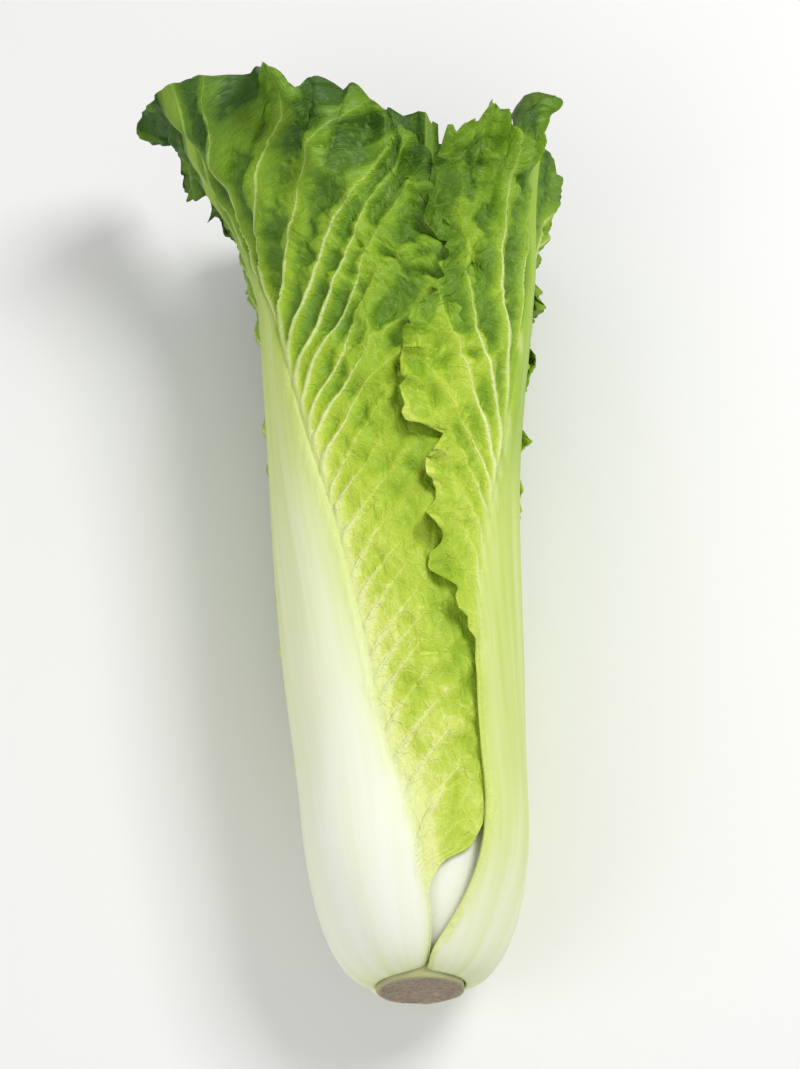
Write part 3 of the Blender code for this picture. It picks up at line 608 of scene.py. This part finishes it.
def leaf_shape(leaf, rows, columns):
    """The outer and inner face of a leaf as grids of points, and what its material reads at each point."""
    rows, columns = rows[:, None], columns[None, :]
    seed = leaf.seed
    stations, degrees, offsets, rib, spread = leaf_layout(leaf, rows, columns)
    radius = curve(stations, OUTSIDE)
    share = np.clip(np.abs(offsets) / rib, 0, 1)
    beyond_rib = np.maximum(np.abs(offsets) - rib, 0)
    thick = curve(stations, leaf.stalk)
    edge_thick = STALK_EDGE_THICKNESS + ramp(stations, 0.07, 0.12) * (SHEET - STALK_EDGE_THICKNESS)
    blade = blade_level(leaf, stations, offsets, thick, edge_thick, np.radians(beyond_rib) * radius)
    outer = (blade - edge_thick / 2) * (1 - np.sqrt(1 - share**leaf.flatness))
    inner = thick + (blade + edge_thick / 2 - thick) * share**2

    left_flare, middle_flare, right_flare = leaf.flare
    flare = curve(spread, ((-1, left_flare), (0, middle_flare), (1, right_flare)))
    above = np.maximum(stations - FLARE_STATION, 0)
    wide = radius * (0.6 + 0.4 * leaf.depth) + (1 - np.cos(flare * above)) / flare
    across_blade = np.radians(beyond_rib) * wide
    across = np.radians(offsets) * wide
    number, gap, strength = leaf_veins(leaf, stations, degrees, wide, offsets < 0)
    distance = np.abs(number - np.round(number)) * gap
    half_width = VEIN_HALF_WIDTH * strength * (1 + 1.1 * np.exp(-across_blade / 0.009)) + 0.00002
    ridge = strength * np.exp(-((distance / (1.5 * half_width + 0.0004)) ** 2))
    calm = 1 - 0.85 * np.clip(1.5 * strength, 0, 1) * np.exp(-((distance / (0.12 * gap + 0.0012)) ** 2))
    waves = blade_waves(leaf, stations, across, across_blade, number, gap, calm, rows)
    if leaf.covered:
        edge = np.interp(stations, *np.array(leaf.covered).T)
        waves = waves * (1 - 0.75 * ramp(degrees, edge - 2, edge + 8) * (1 - ramp(stations, 0.35, 0.39)))
    tucked = ramp(spread, *leaf.tucked) * (1 - ramp(stations, 0.34, 0.40))
    waves = waves * (1 - 0.95 * tucked)
    lift = leaf_waves(leaf, degrees, stations, spread, np.radians(offsets) * radius, beyond_rib, rows)
    lift = lift * (1 - 0.8 * tucked) - 0.0012 * tucked
    lift = lift + waves + VEIN_HEIGHT * ridge * ramp(across_blade, 0, 0.003) * (1 - tucked)

    frill, slide = margin_frill(leaf, stations, columns)
    curl, sway = tip_curl(leaf, rows, columns, spread)
    lift = lift + frill + curl
    degrees = degrees + np.degrees(sway / wide) * ramp(across_blade, 0, 0.01)
    floor = CLEARANCE * (1 - leaf.pressed * (share < 1) * ramp(stations, 0.04, 0.06))
    depth = leaf.depth + np.zeros_like(stations)
    outer_face = head_point(depth, degrees, stations + slide, flare, lift - outer, floor)
    inner_face = head_point(depth, degrees, stations + slide, flare, lift - inner, floor + (inner - outer))

    signed = np.where(share < 1, -(1 - share) * np.radians(rib) * wide, across_blade)
    green = curve(stations, leaf.green) + 0.07 * noise(degrees / 16, stations / 0.03, seed + 70)
    # The leaf's shade setting shifts the green fact across the blade: partly its own paler tone by the rib,
    # partly painted shade, darker toward the right leaf's edge on the left leaf and darker beside the rib on
    # the right leaf.
    from_rib = np.clip(across_blade / 0.04, 0, 1) - 0.4
    facts = {
        "beyond": signed * (1 + 2.5 * ramp(stations, 0.27, 0.35)),
        "number": number,
        "gap": gap,
        "half_width": half_width * ramp(across_blade, -0.001, 0.0005),
        "station": stations,
        "across": across,
        # The blade's relief, which the material turns into painted shade in hollows and painted light on raised
        # parts.
        "height": np.clip(0.5 + (waves + 0.3 * VEIN_HEIGHT * ridge) / 0.006, 0, 1),
        "stem": curve(stations, leaf.stem) + 0.05 * noise(degrees / 9, stations / 0.05, seed + 71),
        "green": green + leaf.shade * from_rib * (1 - ramp(stations, *UPPER_BLADE)),
    }
    return outer_face, inner_face, facts


def split_squares(a, b, c, d):
    return np.stack([a, b, c, d], -1).reshape(-1, 4)


def leaf_faces(rows, columns):
    """Squares of the outer face and of the inner face, which has half as many, and the rim between."""
    index = np.arange(rows * columns).reshape(rows, columns)
    few_rows, few_columns = (rows + 1) // 2, (columns + 1) // 2
    back = np.arange(few_rows * few_columns).reshape(few_rows, few_columns) + rows * columns
    front_squares = split_squares(index[:-1, :-1], index[:-1, 1:], index[1:, 1:], index[1:, :-1])
    back_squares = split_squares(back[1:, :-1], back[1:, 1:], back[:-1, 1:], back[:-1, :-1])

    def rim(grid):
        return np.concatenate([grid[0, :], grid[1:, -1], grid[-1, -2::-1], grid[-2:0:-1, 0]])

    full, half = rim(index), rim(back)
    a, m, b = full[0::2], full[1::2], np.roll(full[0::2], -1)
    p, q = half, np.roll(half, -1)
    triangles = [np.stack(three, -1) for three in ((a, p, m), (p, q, m), (q, b, m))]
    return np.concatenate([front_squares, back_squares]), np.concatenate(triangles)


def mesh_of(name, points, squares, triangles, facts):
    """A mesh with one number per point for each of the named facts."""
    mesh = bpy.data.meshes.new(name)
    corners = np.concatenate([squares.ravel(), triangles.ravel()]).astype(np.int32)
    starts = np.concatenate([np.arange(len(squares)) * 4, len(squares) * 4 + np.arange(len(triangles)) * 3])
    mesh.vertices.add(len(points))
    mesh.vertices.foreach_set("co", points.astype(np.float32).ravel())
    mesh.loops.add(len(corners))
    mesh.loops.foreach_set("vertex_index", corners)
    mesh.polygons.add(len(starts))
    mesh.polygons.foreach_set("loop_start", starts.astype(np.int32))
    mesh.update(calc_edges=True)
    for fact, values in facts.items():
        kind, field = ("FLOAT_VECTOR", "vector") if fact == "flat" else ("FLOAT", "value")
        layer = mesh.attributes.new(fact, kind, "POINT")
        layer.data.foreach_set(field, values.astype(np.float32).ravel())
    mesh.shade_smooth()
    return mesh


def leaf_mesh_parts(leaf, rows, columns):
    outer_face, inner_face, facts = leaf_shape(leaf, rows, columns)
    points = np.concatenate([outer_face.reshape(-1, 3), inner_face[::2, ::2].reshape(-1, 3)])
    squares, triangles = leaf_faces(len(rows), len(columns))
    both = {}
    for fact, values in facts.items():
        values = values + np.zeros(outer_face.shape[:2])
        both[fact] = np.concatenate([values.ravel(), values[::2, ::2].ravel()])
    inside = np.zeros(outer_face.shape[:2])
    both["inside"] = np.concatenate([inside.ravel(), 1 + inside[::2, ::2].ravel()])
    across, station = both.pop("across"), both.pop("station")
    both["flat"] = np.stack([across, station, 0 * station], -1)
    return points, squares, triangles, both


def place(name, mesh, material, slot_name, *nodes):
    mesh.materials.append(material)
    piece = bpy.data.objects.new(name, mesh)
    bpy.context.scene.collection.objects.link(piece)
    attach(piece, "root")
    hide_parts(*nodes)


def spaced_rows(count):
    """An odd number of rows from 0 to 1, more of them near the leaf's top."""
    t = np.linspace(0, 1, count)
    return t * (1.5 - 0.5 * t)


def spaced_columns(on_half_rib, on_left, on_right):
    """Columns across a leaf, more of them on the rib's rounded edges."""
    rib = RIB_SHARE * np.sin(np.linspace(0, math.pi / 2, on_half_rib + 1))
    left = np.linspace(RIB_SHARE, 1, on_left + 1)[1:]
    right = np.linspace(RIB_SHARE, 1, on_right + 1)[1:]
    return np.concatenate([-left[::-1], -rib[:0:-1], rib, right])


OUTER_GREEN = (
    (0.0, -0.05), (0.06, 0.03), (0.12, 0.16), (0.20, 0.29), (0.27, 0.46), (0.33, 0.62), (0.39, 0.80),
    (0.44, 0.97),
)
INNER_GREEN = ((0.0, -0.05), (0.12, 0.0), (0.25, 0.14), (0.33, 0.44), (0.36, 0.74), (0.40, 1.0))
# Rib colour along the two front leaves; the first stops, darker next to the stump, are painted shade at the
# leaves' base.
LEFT_STEM = (
    (0.0, 0.36), (0.012, 0.22), (0.03, 0.06), (0.06, 0.07), (0.11, 0.17), (0.17, 0.31), (0.22, 0.42),
    (0.27, 0.58), (0.32, 0.76), (0.38, 1.0),
)
RIGHT_STEM = (
    (0.0, 0.36), (0.012, 0.24), (0.04, 0.22), (0.07, 0.42), (0.15, 0.60), (0.22, 0.74), (0.27, 0.96),
    (0.31, 1.0),
)
USUAL_STEM = ((0.0, 0.05), (0.10, 0.06), (0.20, 0.2), (0.30, 0.6), (0.36, 1.0))
DEEP_GREEN = ((0.0, -0.05), (0.20, 0.0), (0.30, 0.12), (0.36, 0.32), (0.42, 0.55))


# A leaf's settings wherever none is given, and those that differ for the leaves of the whorls and of the heart.
USUAL_LEAF = {
    "name": "",
    "root": 0.0,
    "depth": 0.985,
    "rib": RIB_HALF,
    "left": LEFT_MARGIN,
    "left_span": None,
    "left_cut": None,
    "edge": None,
    "right": RIGHT_MARGIN,
    "fan": None,
    "stalk": OUTER_STALK,
    "levels": OUTER_LEVELS,
    "flatness": RIB_FLATNESS,
    "pleats": 0.0008,
    "ruffles": (0.0050, 0.0006, 0.0060),
    "overhang": 0.0,
    "pressed": 0.0,
    "covered": None,
    "tucked": (2, 3),
    "left_veins": None,
    "right_veins": None,
    "low_veins": False,
    "grid": (301, 12, 48, 48),
    "lobes": 3.0,
    "teeth": 1.0,
    "vein_pleat": 0.30,
    "puckers": 0.0022,
    "crumple": 0.0019,
    "frill": (0.0035, 0.0012),
    "tip_curl": 0.0060,
    "tip_lean": 0.0,
    "lean_until": (0.06, 0.22),
    "green": OUTER_GREEN,
    # How far painted shade, with the blade's own tone, shifts the green across the blade from the rib.
    "shade": 0.0,
    "stem": USUAL_STEM,
}
WHORL_LEAF = {
    "stalk": INNER_STALK,
    "levels": INNER_LEVELS,
    "pleats": 0.0,
    "ruffles": (0.0006, 0.0004, 0.0042),
    "lobes": 1.6,
    "vein_pleat": 0.14,
    "puckers": 0.0012,
    "crumple": 0.0010,
    "frill": (0.0010, 0.0006),
    "tip_curl": 0.0036,
}
HEART_LEAF = {
    "stalk": HEART_STALK,
    "levels": HEART_LEVELS,
    "flare": (0.3, 0.3, 0.3),
    "pleats": 0.0,
    "ruffles": (0.0004, 0.0004, 0.0022),
    "lobes": 1.0,
    "vein_pleat": 0.08,
    "puckers": 0.0008,
    "crumple": 0.0006,
    "frill": (0.0006, 0.0004),
    "tip_curl": 0.0020,
    "green": DEEP_GREEN,
}


def leaf_settings(given):
    """All settings of a leaf, of which the rib runs in its middle line unless it is given."""
    return SimpleNamespace(**{"rib_line": given["line"], **USUAL_LEAF, **given})


def straight(degrees):
    return ((0.0, degrees), (0.48, degrees))


def linear(colour):
    """Scene colour from 0 to 255 display values."""
    shares = [part / 255 for part in colour]
    return tuple(part / 12.92 if part <= 0.04045 else ((part + 0.055) / 1.055) ** 2.4 for part in shares)


class Nodes:
    """Short ways to add shader nodes to one material."""

    def __init__(self, name):
        self.material = bpy.data.materials.new(name)
        self.material.use_nodes = True
        self.tree = self.material.node_tree
        self.shader = self.tree.nodes["Principled BSDF"]

    def put(self, socket, value):
        if isinstance(value, bpy.types.NodeSocket):
            self.tree.links.new(value, socket)
        elif isinstance(value, tuple) and len(value) == 3 and socket.type == "RGBA":
            socket.default_value = (*value, 1)
        else:
            socket.default_value = value

    def add(self, kind, inputs, output=0, **settings):
        """One output of a new node, with its inputs by number or name."""
        node = self.tree.nodes.new(kind)
        for setting, value in settings.items():
            setattr(node, setting, value)
        for socket, value in inputs.items():
            self.put(node.inputs[socket], value)
        return node.outputs[output]

    def fact(self, name, vector=False):
        return self.add("ShaderNodeAttribute", {}, "Vector" if vector else "Fac", attribute_name=name)

    def math(self, operation, a, b=0.0, clamp=False):
        return self.add("ShaderNodeMath", {0: a, 1: b}, operation=operation, use_clamp=clamp)

    def times(self, a, b):
        return self.math("MULTIPLY", a, b)

    def total(self, start, *terms, clamp=False):
        """The start value with a share of each other value added, as (value, share)."""
        for value, share in terms:
            start = self.math("ADD", start, self.times(value, share), clamp=clamp)
        return start

    def smooth(self, value, low, high, at_low=0.0, at_high=1.0):
        inputs = dict(enumerate((value, low, high, at_low, at_high)))
        return self.add("ShaderNodeMapRange", inputs, interpolation_type="SMOOTHSTEP")

    def mix(self, share, a, b):
        return self.add("ShaderNodeMix", {0: share, 6: a, 7: b}, 2, data_type="RGBA", clamp_factor=True)

    def vector(self, operation, a, b):
        return self.add("ShaderNodeVectorMath", {0: a, 1: b}, operation=operation)

    def noise(self, vector, scale, detail=2.0, roughness=0.5):
        inputs = {"Vector": vector, "Scale": scale, "Detail": detail, "Roughness": roughness}
        return self.add("ShaderNodeTexNoise", inputs, "Fac")

    def network(self, vector, scale):
        """Distance to the borders of a net of cells."""
        inputs = {"Vector": vector, "Scale": scale}
        return self.add("ShaderNodeTexVoronoi", inputs, "Distance", feature="DISTANCE_TO_EDGE")

    def ramp(self, value, stops):
        colour = self.add("ShaderNodeValToRGB", {0: value})
        elements = colour.node.color_ramp.elements
        while len(elements) < len(stops):
            elements.new(0.5)
        for element, (position, stop) in zip(elements, stops):
            element.position = position
            element.color = (*linear(stop), 1)
        return colour

    def bump(self, height, distance):
        return self.add("ShaderNodeBump", {"Height": height, "Distance": distance, "Strength": 1.0})


BLADE_COLOURS = (
    (0.0, (226, 234, 146)),
    (0.10, (206, 220, 98)),
    (0.22, (181, 205, 62)),
    (0.38, (154, 186, 44)),
    (0.55, (127, 164, 36)),
    (0.72, (105, 143, 34)),
    (0.88, (86, 123, 30)),
    (1.0, (60, 96, 26)),
)
STEM_COLOURS = (
    (0.0, (243, 245, 232)),
    (0.12, (238, 241, 216)),
    (0.28, (229, 235, 190)),
    (0.50, (210, 222, 146)),
    (0.72, (190, 208, 106)),
    (1.0, (152, 182, 66)),
)


def leaf_material(name):
    """Green blade with a net of pale veins, and a white striated rib."""
    n = Nodes(name)
    flat = n.fact("flat", vector=True)
    green, inside, height, beyond = (n.fact(fact) for fact in ("green", "inside", "height", "beyond"))
    number, gap, half_width, stem = (n.fact(fact) for fact in ("number", "gap", "half_width", "stem"))

    # Side veins, the branches between them and two nets of small veins.
    beside = n.math("SUBTRACT", n.math("FRACT", n.math("ADD", number, 0.5)), 0.5)
    from_vein = n.times(n.math("ABSOLUTE", beside), gap)
    vein = n.smooth(from_vein, n.times(half_width, 0.2), n.times(half_width, 1.25), 1.0, 0.0)
    halo = n.smooth(from_vein, 0.0, n.times(half_width, 4.0), 1.0, 0.0)
    warp = n.noise(flat, 90.0, 2.0)
    climb = n.total(n.add("ShaderNodeSeparateXYZ", {0: flat}, "Y"), (from_vein, -0.85))
    branch = n.total(n.math("DIVIDE", climb, 0.0072), (warp, 2.2), (n.math("FLOOR", number), 0.37))
    from_branch = n.math("ABSOLUTE", n.math("SUBTRACT", n.math("FRACT", branch), 0.5))
    branches = n.smooth(from_branch, 0.02, 0.075, 1.0, 0.0)
    branches = n.times(branches, n.smooth(from_vein, 0.0, 0.0075, 1.0, 0.35))
    coarse = n.total(n.network(n.vector("MULTIPLY", flat, (1.2, 1.0, 1.0)), 190.0), (warp, 0.05))
    coarse_line = n.smooth(coarse, 0.03, 0.11, 1.0, 0.0)
    fine_line = n.smooth(n.network(flat, 520.0), 0.02, 0.11, 1.0, 0.0)

    rough_edge = n.math("SUBTRACT", n.noise(n.vector("MULTIPLY", flat, (1.0, 0.3, 1.0)), 150.0), 0.5)
    rib = n.smooth(n.total(beyond, (rough_edge, 0.012)), -0.0060, 0.0060, 1.0, 0.0)
    rib = n.times(rib, n.smooth(green, 0.86, 1.0, 1.0, 0.35))

    # The blade is paler on veins and beside the rib, and its raised parts are painted paler and its hollows
    # darker, as painted light and shade.
    blotch = n.math("SUBTRACT", n.noise(flat, 32.0, 3.0, 0.6), 0.5)
    # Painted shade in the blade's hollows and painted light on its raised parts, read from the height fact.
    painted_hollow_shade_and_light = n.smooth(height, 0.15, 0.85, 0.19, -0.10)
    near_rib = n.smooth(beyond, 0.0, 0.016, 0.15, 0.0)
    tone = n.total(green, (blotch, 0.20), (painted_hollow_shade_and_light, n.smooth(green, 0.2, 0.6, 0.55, 1.0)), (inside, -0.10))
    tone = n.total(tone, (branches, -0.10), (coarse_line, -0.06), (halo, -0.10), (near_rib, -1.0))
    blade = n.ramp(n.total(tone, (fine_line, -0.035), clamp=True), BLADE_COLOURS)
    # Thin wrinkle lines that dent the blade by bump and darken it with painted shade in its creases.
    bent = n.vector("ADD", n.vector("MULTIPLY", flat, (1.3, 0.8, 1.0)), n.times(warp, 0.006))
    fold = n.math("SUBTRACT", n.noise(bent, 105.0, 1.0, 0.5), 0.5)
    wrinkle = n.smooth(n.math("ABSOLUTE", fold), 0.0, 0.05, 1.0, 0.0)
    wrinkle = n.times(wrinkle, n.smooth(n.noise(flat, 48.0), 0.46, 0.62))
    painted_crease_shade = n.mix(n.smooth(green, 0.2, 0.8), linear((138, 146, 44)), linear((58, 88, 24)))
    blade = n.mix(n.times(wrinkle, 0.09), blade, painted_crease_shade)
    vein_colour = n.mix(n.smooth(green, 0.35, 0.95), linear((226, 236, 160)), linear((160, 194, 84)))
    vein_share = n.times(vein, n.smooth(half_width, 0.0001, 0.0011, 0.08, 0.95))
    colour = n.mix(vein_share, blade, vein_colour)

    streaks = n.noise(n.vector("MULTIPLY", flat, (330.0, 9.0, 1.0)), 1.0, 3.0, 0.65)
    wide_streaks = n.noise(n.vector("MULTIPLY", flat, (105.0, 4.0, 1.0)), 1.0, 2.0)
    wide_streaks = n.smooth(wide_streaks, 0.30, 0.70, -0.07, 0.07)
    streaking = n.math("ADD", wide_streaks, n.smooth(streaks, 0.40, 0.75, -0.02, 0.05))
    stem = n.total(stem, (n.smooth(stem, 0.0, 0.45, 0.35, 1.0), streaking))
    stem = n.math("ADD", stem, n.smooth(beyond, -0.008, 0.001, 0.0, 0.12), clamp=True)
    n.put(n.shader.inputs["Base Color"], n.mix(rib, colour, n.ramp(stem, STEM_COLOURS)))
    n.put(n.shader.inputs["Roughness"], n.smooth(n.noise(flat, 240.0, 2.0), 0.2, 0.8, 0.42, 0.60))

    relief = n.times(vein, n.smooth(half_width, 0.0002, 0.0008, 0.0, 0.8))
    relief = n.total(relief, (branches, 0.35), (coarse_line, 0.22), (fine_line, 0.12))
    relief = n.total(relief, (n.noise(flat, 230.0, 3.0, 0.6), 2.3), (wrinkle, -0.5))
    relief = n.times(relief, n.math("SUBTRACT", 1.0, rib))
    relief = n.total(relief, (n.times(streaks, rib), 0.32), (n.noise(flat, 1500.0, 2.0), 0.08))
    n.put(n.shader.inputs["Normal"], n.bump(relief, 0.0005))
    n.shader.inputs["Specular IOR Level"].default_value = 0.24
    n.shader.inputs["Coat Weight"].default_value = 0.06
    n.shader.inputs["Coat Roughness"].default_value = 0.2
    return n.material


def stump_material():
    """Dried brown cut with a paler ring of vessels and a thin yellow green skin."""
    n = Nodes("cut_stalk")
    flat = n.fact("flat", vector=True)
    reach = n.fact("reach")
    grain = n.noise(flat, 260.0, 4.0, 0.6)
    spots = n.network(flat, 330.0)
    blotch = n.smooth(n.noise(flat, 70.0, 2.0), 0.3, 0.7)
    colour = n.mix(blotch, linear((138, 122, 104)), linear((152, 137, 116)))
    for share, over in (
        (n.smooth(grain, 0.45, 0.75, 0.0, 0.3), (112, 94, 74)),
        (n.smooth(spots, 0.0, 0.12, 0.35, 0.0), (196, 182, 158)),
        (n.times(n.smooth(reach, 0.88, 0.96), 0.4), (196, 190, 140)),
        (n.smooth(reach, 0.96, 1.0), (178, 180, 128)),
    ):
        colour = n.mix(share, colour, linear(over))
    n.put(n.shader.inputs["Base Color"], colour)
    n.put(n.shader.inputs["Roughness"], n.smooth(grain, 0.2, 0.8, 0.6, 0.85))
    n.put(n.shader.inputs["Normal"], n.bump(n.total(grain, (spots, 0.6)), 0.0004))
    return n.material


def closed_tube(x, y, z):
    """Points, squares and triangles of a row of rings with both ends closed."""
    count, sides = x.shape
    rings = np.stack([x, y, z], -1)
    points = np.concatenate([rings.reshape(-1, 3), rings[[0, -1]].mean(axis=1)])
    index = np.arange(count * sides).reshape(count, sides)
    following = np.roll(index, -1, axis=1)
    squares = split_squares(index[:-1], following[:-1], following[1:], index[1:])
    middle = np.full(sides, count * sides)
    start = np.stack([index[0], middle, following[0]], -1)
    end = np.stack([index[-1], following[-1], middle + 1], -1)
    return points, squares, np.concatenate([start, end])


def stump_mesh():
    """The cut stalk, with a worn rim and a slightly sunken, uneven cut."""
    face_rings, side_rings, sides = STUMP_GRID
    turn = np.arange(sides) * 2 * math.pi / sides
    wobble = 0.00035 * np.sin(3 * turn + 1) + 0.00025 * np.sin(7 * turn)
    heights = []
    radii = []
    for share in np.linspace(0.02, 1, face_rings):
        rough = noise(share * 9 * np.cos(turn), share * 9 * np.sin(turn), 5)
        heights.append(RIM_DEPTH + CUT_DEPTH * (1 - share**4) + CUT_ROUGHNESS * rough)
        radii.append(share * (STUMP_RADIUS - RIM_RADIUS) + wobble * share)
    for step in np.linspace(0, 1, side_rings):
        bend = np.clip(step * 4, 0, 1) * math.pi / 2
        straight_part = max(step - 0.25, 0) / 0.75 * STUMP_SIDE
        heights.append(RIM_DEPTH + RIM_RADIUS * (1 - math.cos(bend)) + straight_part + 0 * turn)
        radii.append(STUMP_RADIUS - RIM_RADIUS + RIM_RADIUS * math.sin(bend) + wobble)
    heights, radii = np.array(heights), np.array(radii)
    x = radii * np.sin(turn) - MIDDLE_X
    z = radii * np.cos(turn) + float(axis_height(BOWL_TOP))
    points, squares, triangles = closed_tube(x, heights - MIDDLE_Y, z)
    facts = {
        "reach": np.concatenate([(radii / STUMP_RADIUS).ravel(), [0, 1]]),
        "flat": points[:, [0, 2, 1]],
    }
    return mesh_of("stump_piece", points, squares, triangles, facts)


def core_parts():
    """The dense middle of the heart as crumpled leaf, closed at both ends."""
    rings, sides = CORE_GRID
    stations = np.linspace(CORE[0][0], CORE[-1][0], rings)[:, None]
    turn = np.arange(sides)[None, :] * 2 * math.pi / sides
    radius = curve(stations, CORE) * (1 + CORE_SQUARENESS * (round_square(turn) - 1))
    across = turn * 0.028
    folds = cushions(across / 0.009, stations / 0.014, 77) * ramp(stations, 0.1, 0.2)
    radius = radius + 0.0009 * folds * ramp(radius, 0.003, 0.01)
    x = radius * np.sin(turn) + curve(stations, AXIS_BOW) - MIDDLE_X
    z = axis_height(stations) + radius * np.cos(turn)
    points, squares, triangles = closed_tube(x, stations - MIDDLE_Y + 0 * turn, z)
    flat = np.stack([across + 0 * stations, stations + 0 * turn, 0 * radius], -1).reshape(-1, 3)
    facts = {fact: np.full(len(points), value) for fact, value in CORE_FACTS.items()}
    facts["flat"] = np.concatenate([flat, flat[[0, -1]]])
    return points, squares, triangles, facts


def joined(parts):
    """Several sets of points, faces and facts as one."""
    shift = 0
    points, squares, triangles = [], [], []
    facts = {fact: [] for fact in parts[0][3]}
    for part_points, part_squares, part_triangles, part_facts in parts:
        points.append(part_points)
        squares.append(part_squares + shift)
        triangles.append(part_triangles + shift)
        for fact in facts:
            facts[fact].append(part_facts[fact])
        shift += len(part_points)
    whole = {fact: np.concatenate(values) for fact, values in facts.items()}
    return np.concatenate(points), np.concatenate(squares), np.concatenate(triangles), whole


leaf_look = leaf_material("leaf_look")
cut_look = stump_material()

OUTER_LEAVES = (
    {
        "name": "outer_leaf_left",
        "line": ((0.0, -50), (0.25, -50), (0.30, -53), (0.35, -60), (0.42, -65), (0.48, -68)),
        "rib_line": LEFT_RIB_LINE,
        "rib": LEFT_RIB,
        "left": LEFT_LEAF_LEFT,
        "left_span": LEFT_MARGIN,
        "right": LEFT_LEAF_RIGHT,
        "length": 0.440,
        "fan": LEFT_LOBES,
        "flare": (6.0, 7.9, 2.3),
        "right_veins": LEFT_LEAF_VEINS,
        "low_veins": True,
        "covered": RIGHT_LEAF_EDGE,
        "flatness": 2.4,
        "grid": (361, 13, 42, 120),
        "stem": LEFT_STEM,
        "shade": 0.20,
        "tip_curl": 0.0048,
        "tip_lean": -0.0035,
        "lean_until": (0.45, 0.75),
        "seed": 1.0,
    },
    {
        "name": "outer_leaf_right",
        "line": (
            (0.0, 72), (0.06, 75), (0.10, 72), (0.15, 67), (0.20, 61), (0.25, 56), (0.30, 58), (0.35, 60),
            (0.48, 63),
        ),
        "rib_line": RIGHT_RIB_LINE,
        "rib": RIGHT_RIB,
        "left": RIGHT_LEAF_SPAN,
        "left_cut": RIGHT_LEAF_LEFT,
        "edge": RIGHT_LEAF_EDGE,
        "right": RIGHT_LEAF_RIGHT,
        "length": 0.434,
        "fan": RIGHT_LOBES,
        "flare": (3.6, 2.5, 0.8),
        "left_veins": RIGHT_LEAF_VEINS,
        "overhang": OVERHANG,
        "frill": (0.0050, 0.0006),
        "grid": (361, 13, 100, 62),
        "stem": RIGHT_STEM,
        "shade": -0.40,
        "tip_curl": 0.0034,
        "tip_lean": -0.0075,
        "teeth": 0.6,
        "seed": 2.0,
    },
    {
        "name": "outer_leaf_under",
        "line": straight(191),
        "left": UNDER_LEAF_LEFT,
        "length": 0.424,
        "flare": (3.8, 1.0, 1.1),
        "pressed": 1.0,
        "tucked": (0.62, 0.78),
        "frill": (0.0035, 0.0),
        "seed": 3.0,
    },
)
for settings in OUTER_LEAVES:
    leaf = leaf_settings(settings)
    rows, columns = spaced_rows(leaf.grid[0]), spaced_columns(*leaf.grid[1:])
    parts = leaf_mesh_parts(leaf, rows, columns)
    place(leaf.name + "_piece", mesh_of(leaf.name, *parts), leaf_look, "outer_leaf", leaf.name)

seed = 4.0
for depth, leaves, counts, green in (
    (SECOND_WHORL, SECOND_LEAVES, (241, 9, 31, 31), INNER_GREEN),
    (THIRD_WHORL, THIRD_LEAVES, (201, 7, 23, 23), DEEP_GREEN),
):
    for name, degrees, length, flare in leaves:
        leaf = {"line": straight(degrees), "length": length, "flare": flare, "depth": depth, "seed": seed}
        leaf = leaf_settings({**WHORL_LEAF, **leaf, "green": green})
        rows, columns = spaced_rows(counts[0]), spaced_columns(*counts[1:])
        parts = leaf_mesh_parts(leaf, rows, columns)
        place(name + "_piece", mesh_of(name, *parts), leaf_look, "inner_leaf", name)
        seed += 1

heart_parts = [core_parts()]
for number, (degrees, root, length, depth) in enumerate(HEART_LEAVES):
    leaf = {"line": straight(degrees), "root": root, "length": length, "depth": depth, "seed": 11.0 + number}
    leaf = leaf_settings({**HEART_LEAF, **leaf})
    rows, columns = np.linspace(0, 1, HEART_GRID[0]), spaced_columns(*HEART_GRID[1:])
    heart_parts.append(leaf_mesh_parts(leaf, rows, columns))
place("heart_piece", mesh_of("heart", *joined(heart_parts)), leaf_look, "heart_leaf", "heart")
place("stump_piece", stump_mesh(), cut_look, "cut_stalk", "stump")

floor_mesh = bpy.data.meshes.new("floor")
corners = [(x * FLOOR_HALF, y * FLOOR_HALF, 0) for x, y in ((-1, -1), (1, -1), (1, 1), (-1, 1))]
floor_mesh.from_pydata(corners, [], [(0, 1, 2, 3)])
floor_piece = bpy.data.objects.new("floor", floor_mesh)
bpy.context.scene.collection.objects.link(floor_piece)
pale = Nodes("pale_floor")
pale.shader.inputs["Base Color"].default_value = (0.86, 0.86, 0.85, 1)
pale.shader.inputs["Roughness"].default_value = 0.9
floor_mesh.materials.append(pale.material)

# The photograph looks down on the head, which leans a little to the left in it.
ELEVATION = math.radians(65)
DISTANCE = 1.665
LENS = 120
ROLL = math.radians(-1.9)
TARGET = Vector((0.0209, 0.00365, 0.058))
camera = bpy.data.objects.new("camera", bpy.data.cameras.new("camera"))
bpy.context.scene.collection.objects.link(camera)
bpy.context.scene.camera = camera
camera.data.lens = LENS
away = Vector((0, -math.cos(ELEVATION), math.sin(ELEVATION)))
camera.location = TARGET + away * DISTANCE
right = Vector((1, 0, 0))
camera.rotation_euler = Matrix((right, away.cross(right), away)).transposed().to_euler()
camera.rotation_euler.rotate_axis("Z", ROLL)


def add_light(name, place_at, size, energy):
    light = bpy.data.objects.new(name, bpy.data.lights.new(name, "AREA"))
    light.data.size = size
    light.data.energy = energy
    light.location = place_at
    light.rotation_euler = (Vector((0, 0, 0.05)) - Vector(place_at)).to_track_quat("-Z", "Y").to_euler()
    bpy.context.scene.collection.objects.link(light)


add_light("key", (0.75, 0.35, 1.25), 0.55, 12)
add_light("fill", (-0.9, -0.6, 1.0), 0.9, 4)
world = bpy.data.worlds.new("studio")
bpy.context.scene.world = world
bpy.context.scene.view_settings.view_transform = "Standard"
world.use_nodes = True
world.node_tree.nodes["Background"].inputs["Color"].default_value = (1, 1, 1, 1)
world.node_tree.nodes["Background"].inputs["Strength"].default_value = 0.56
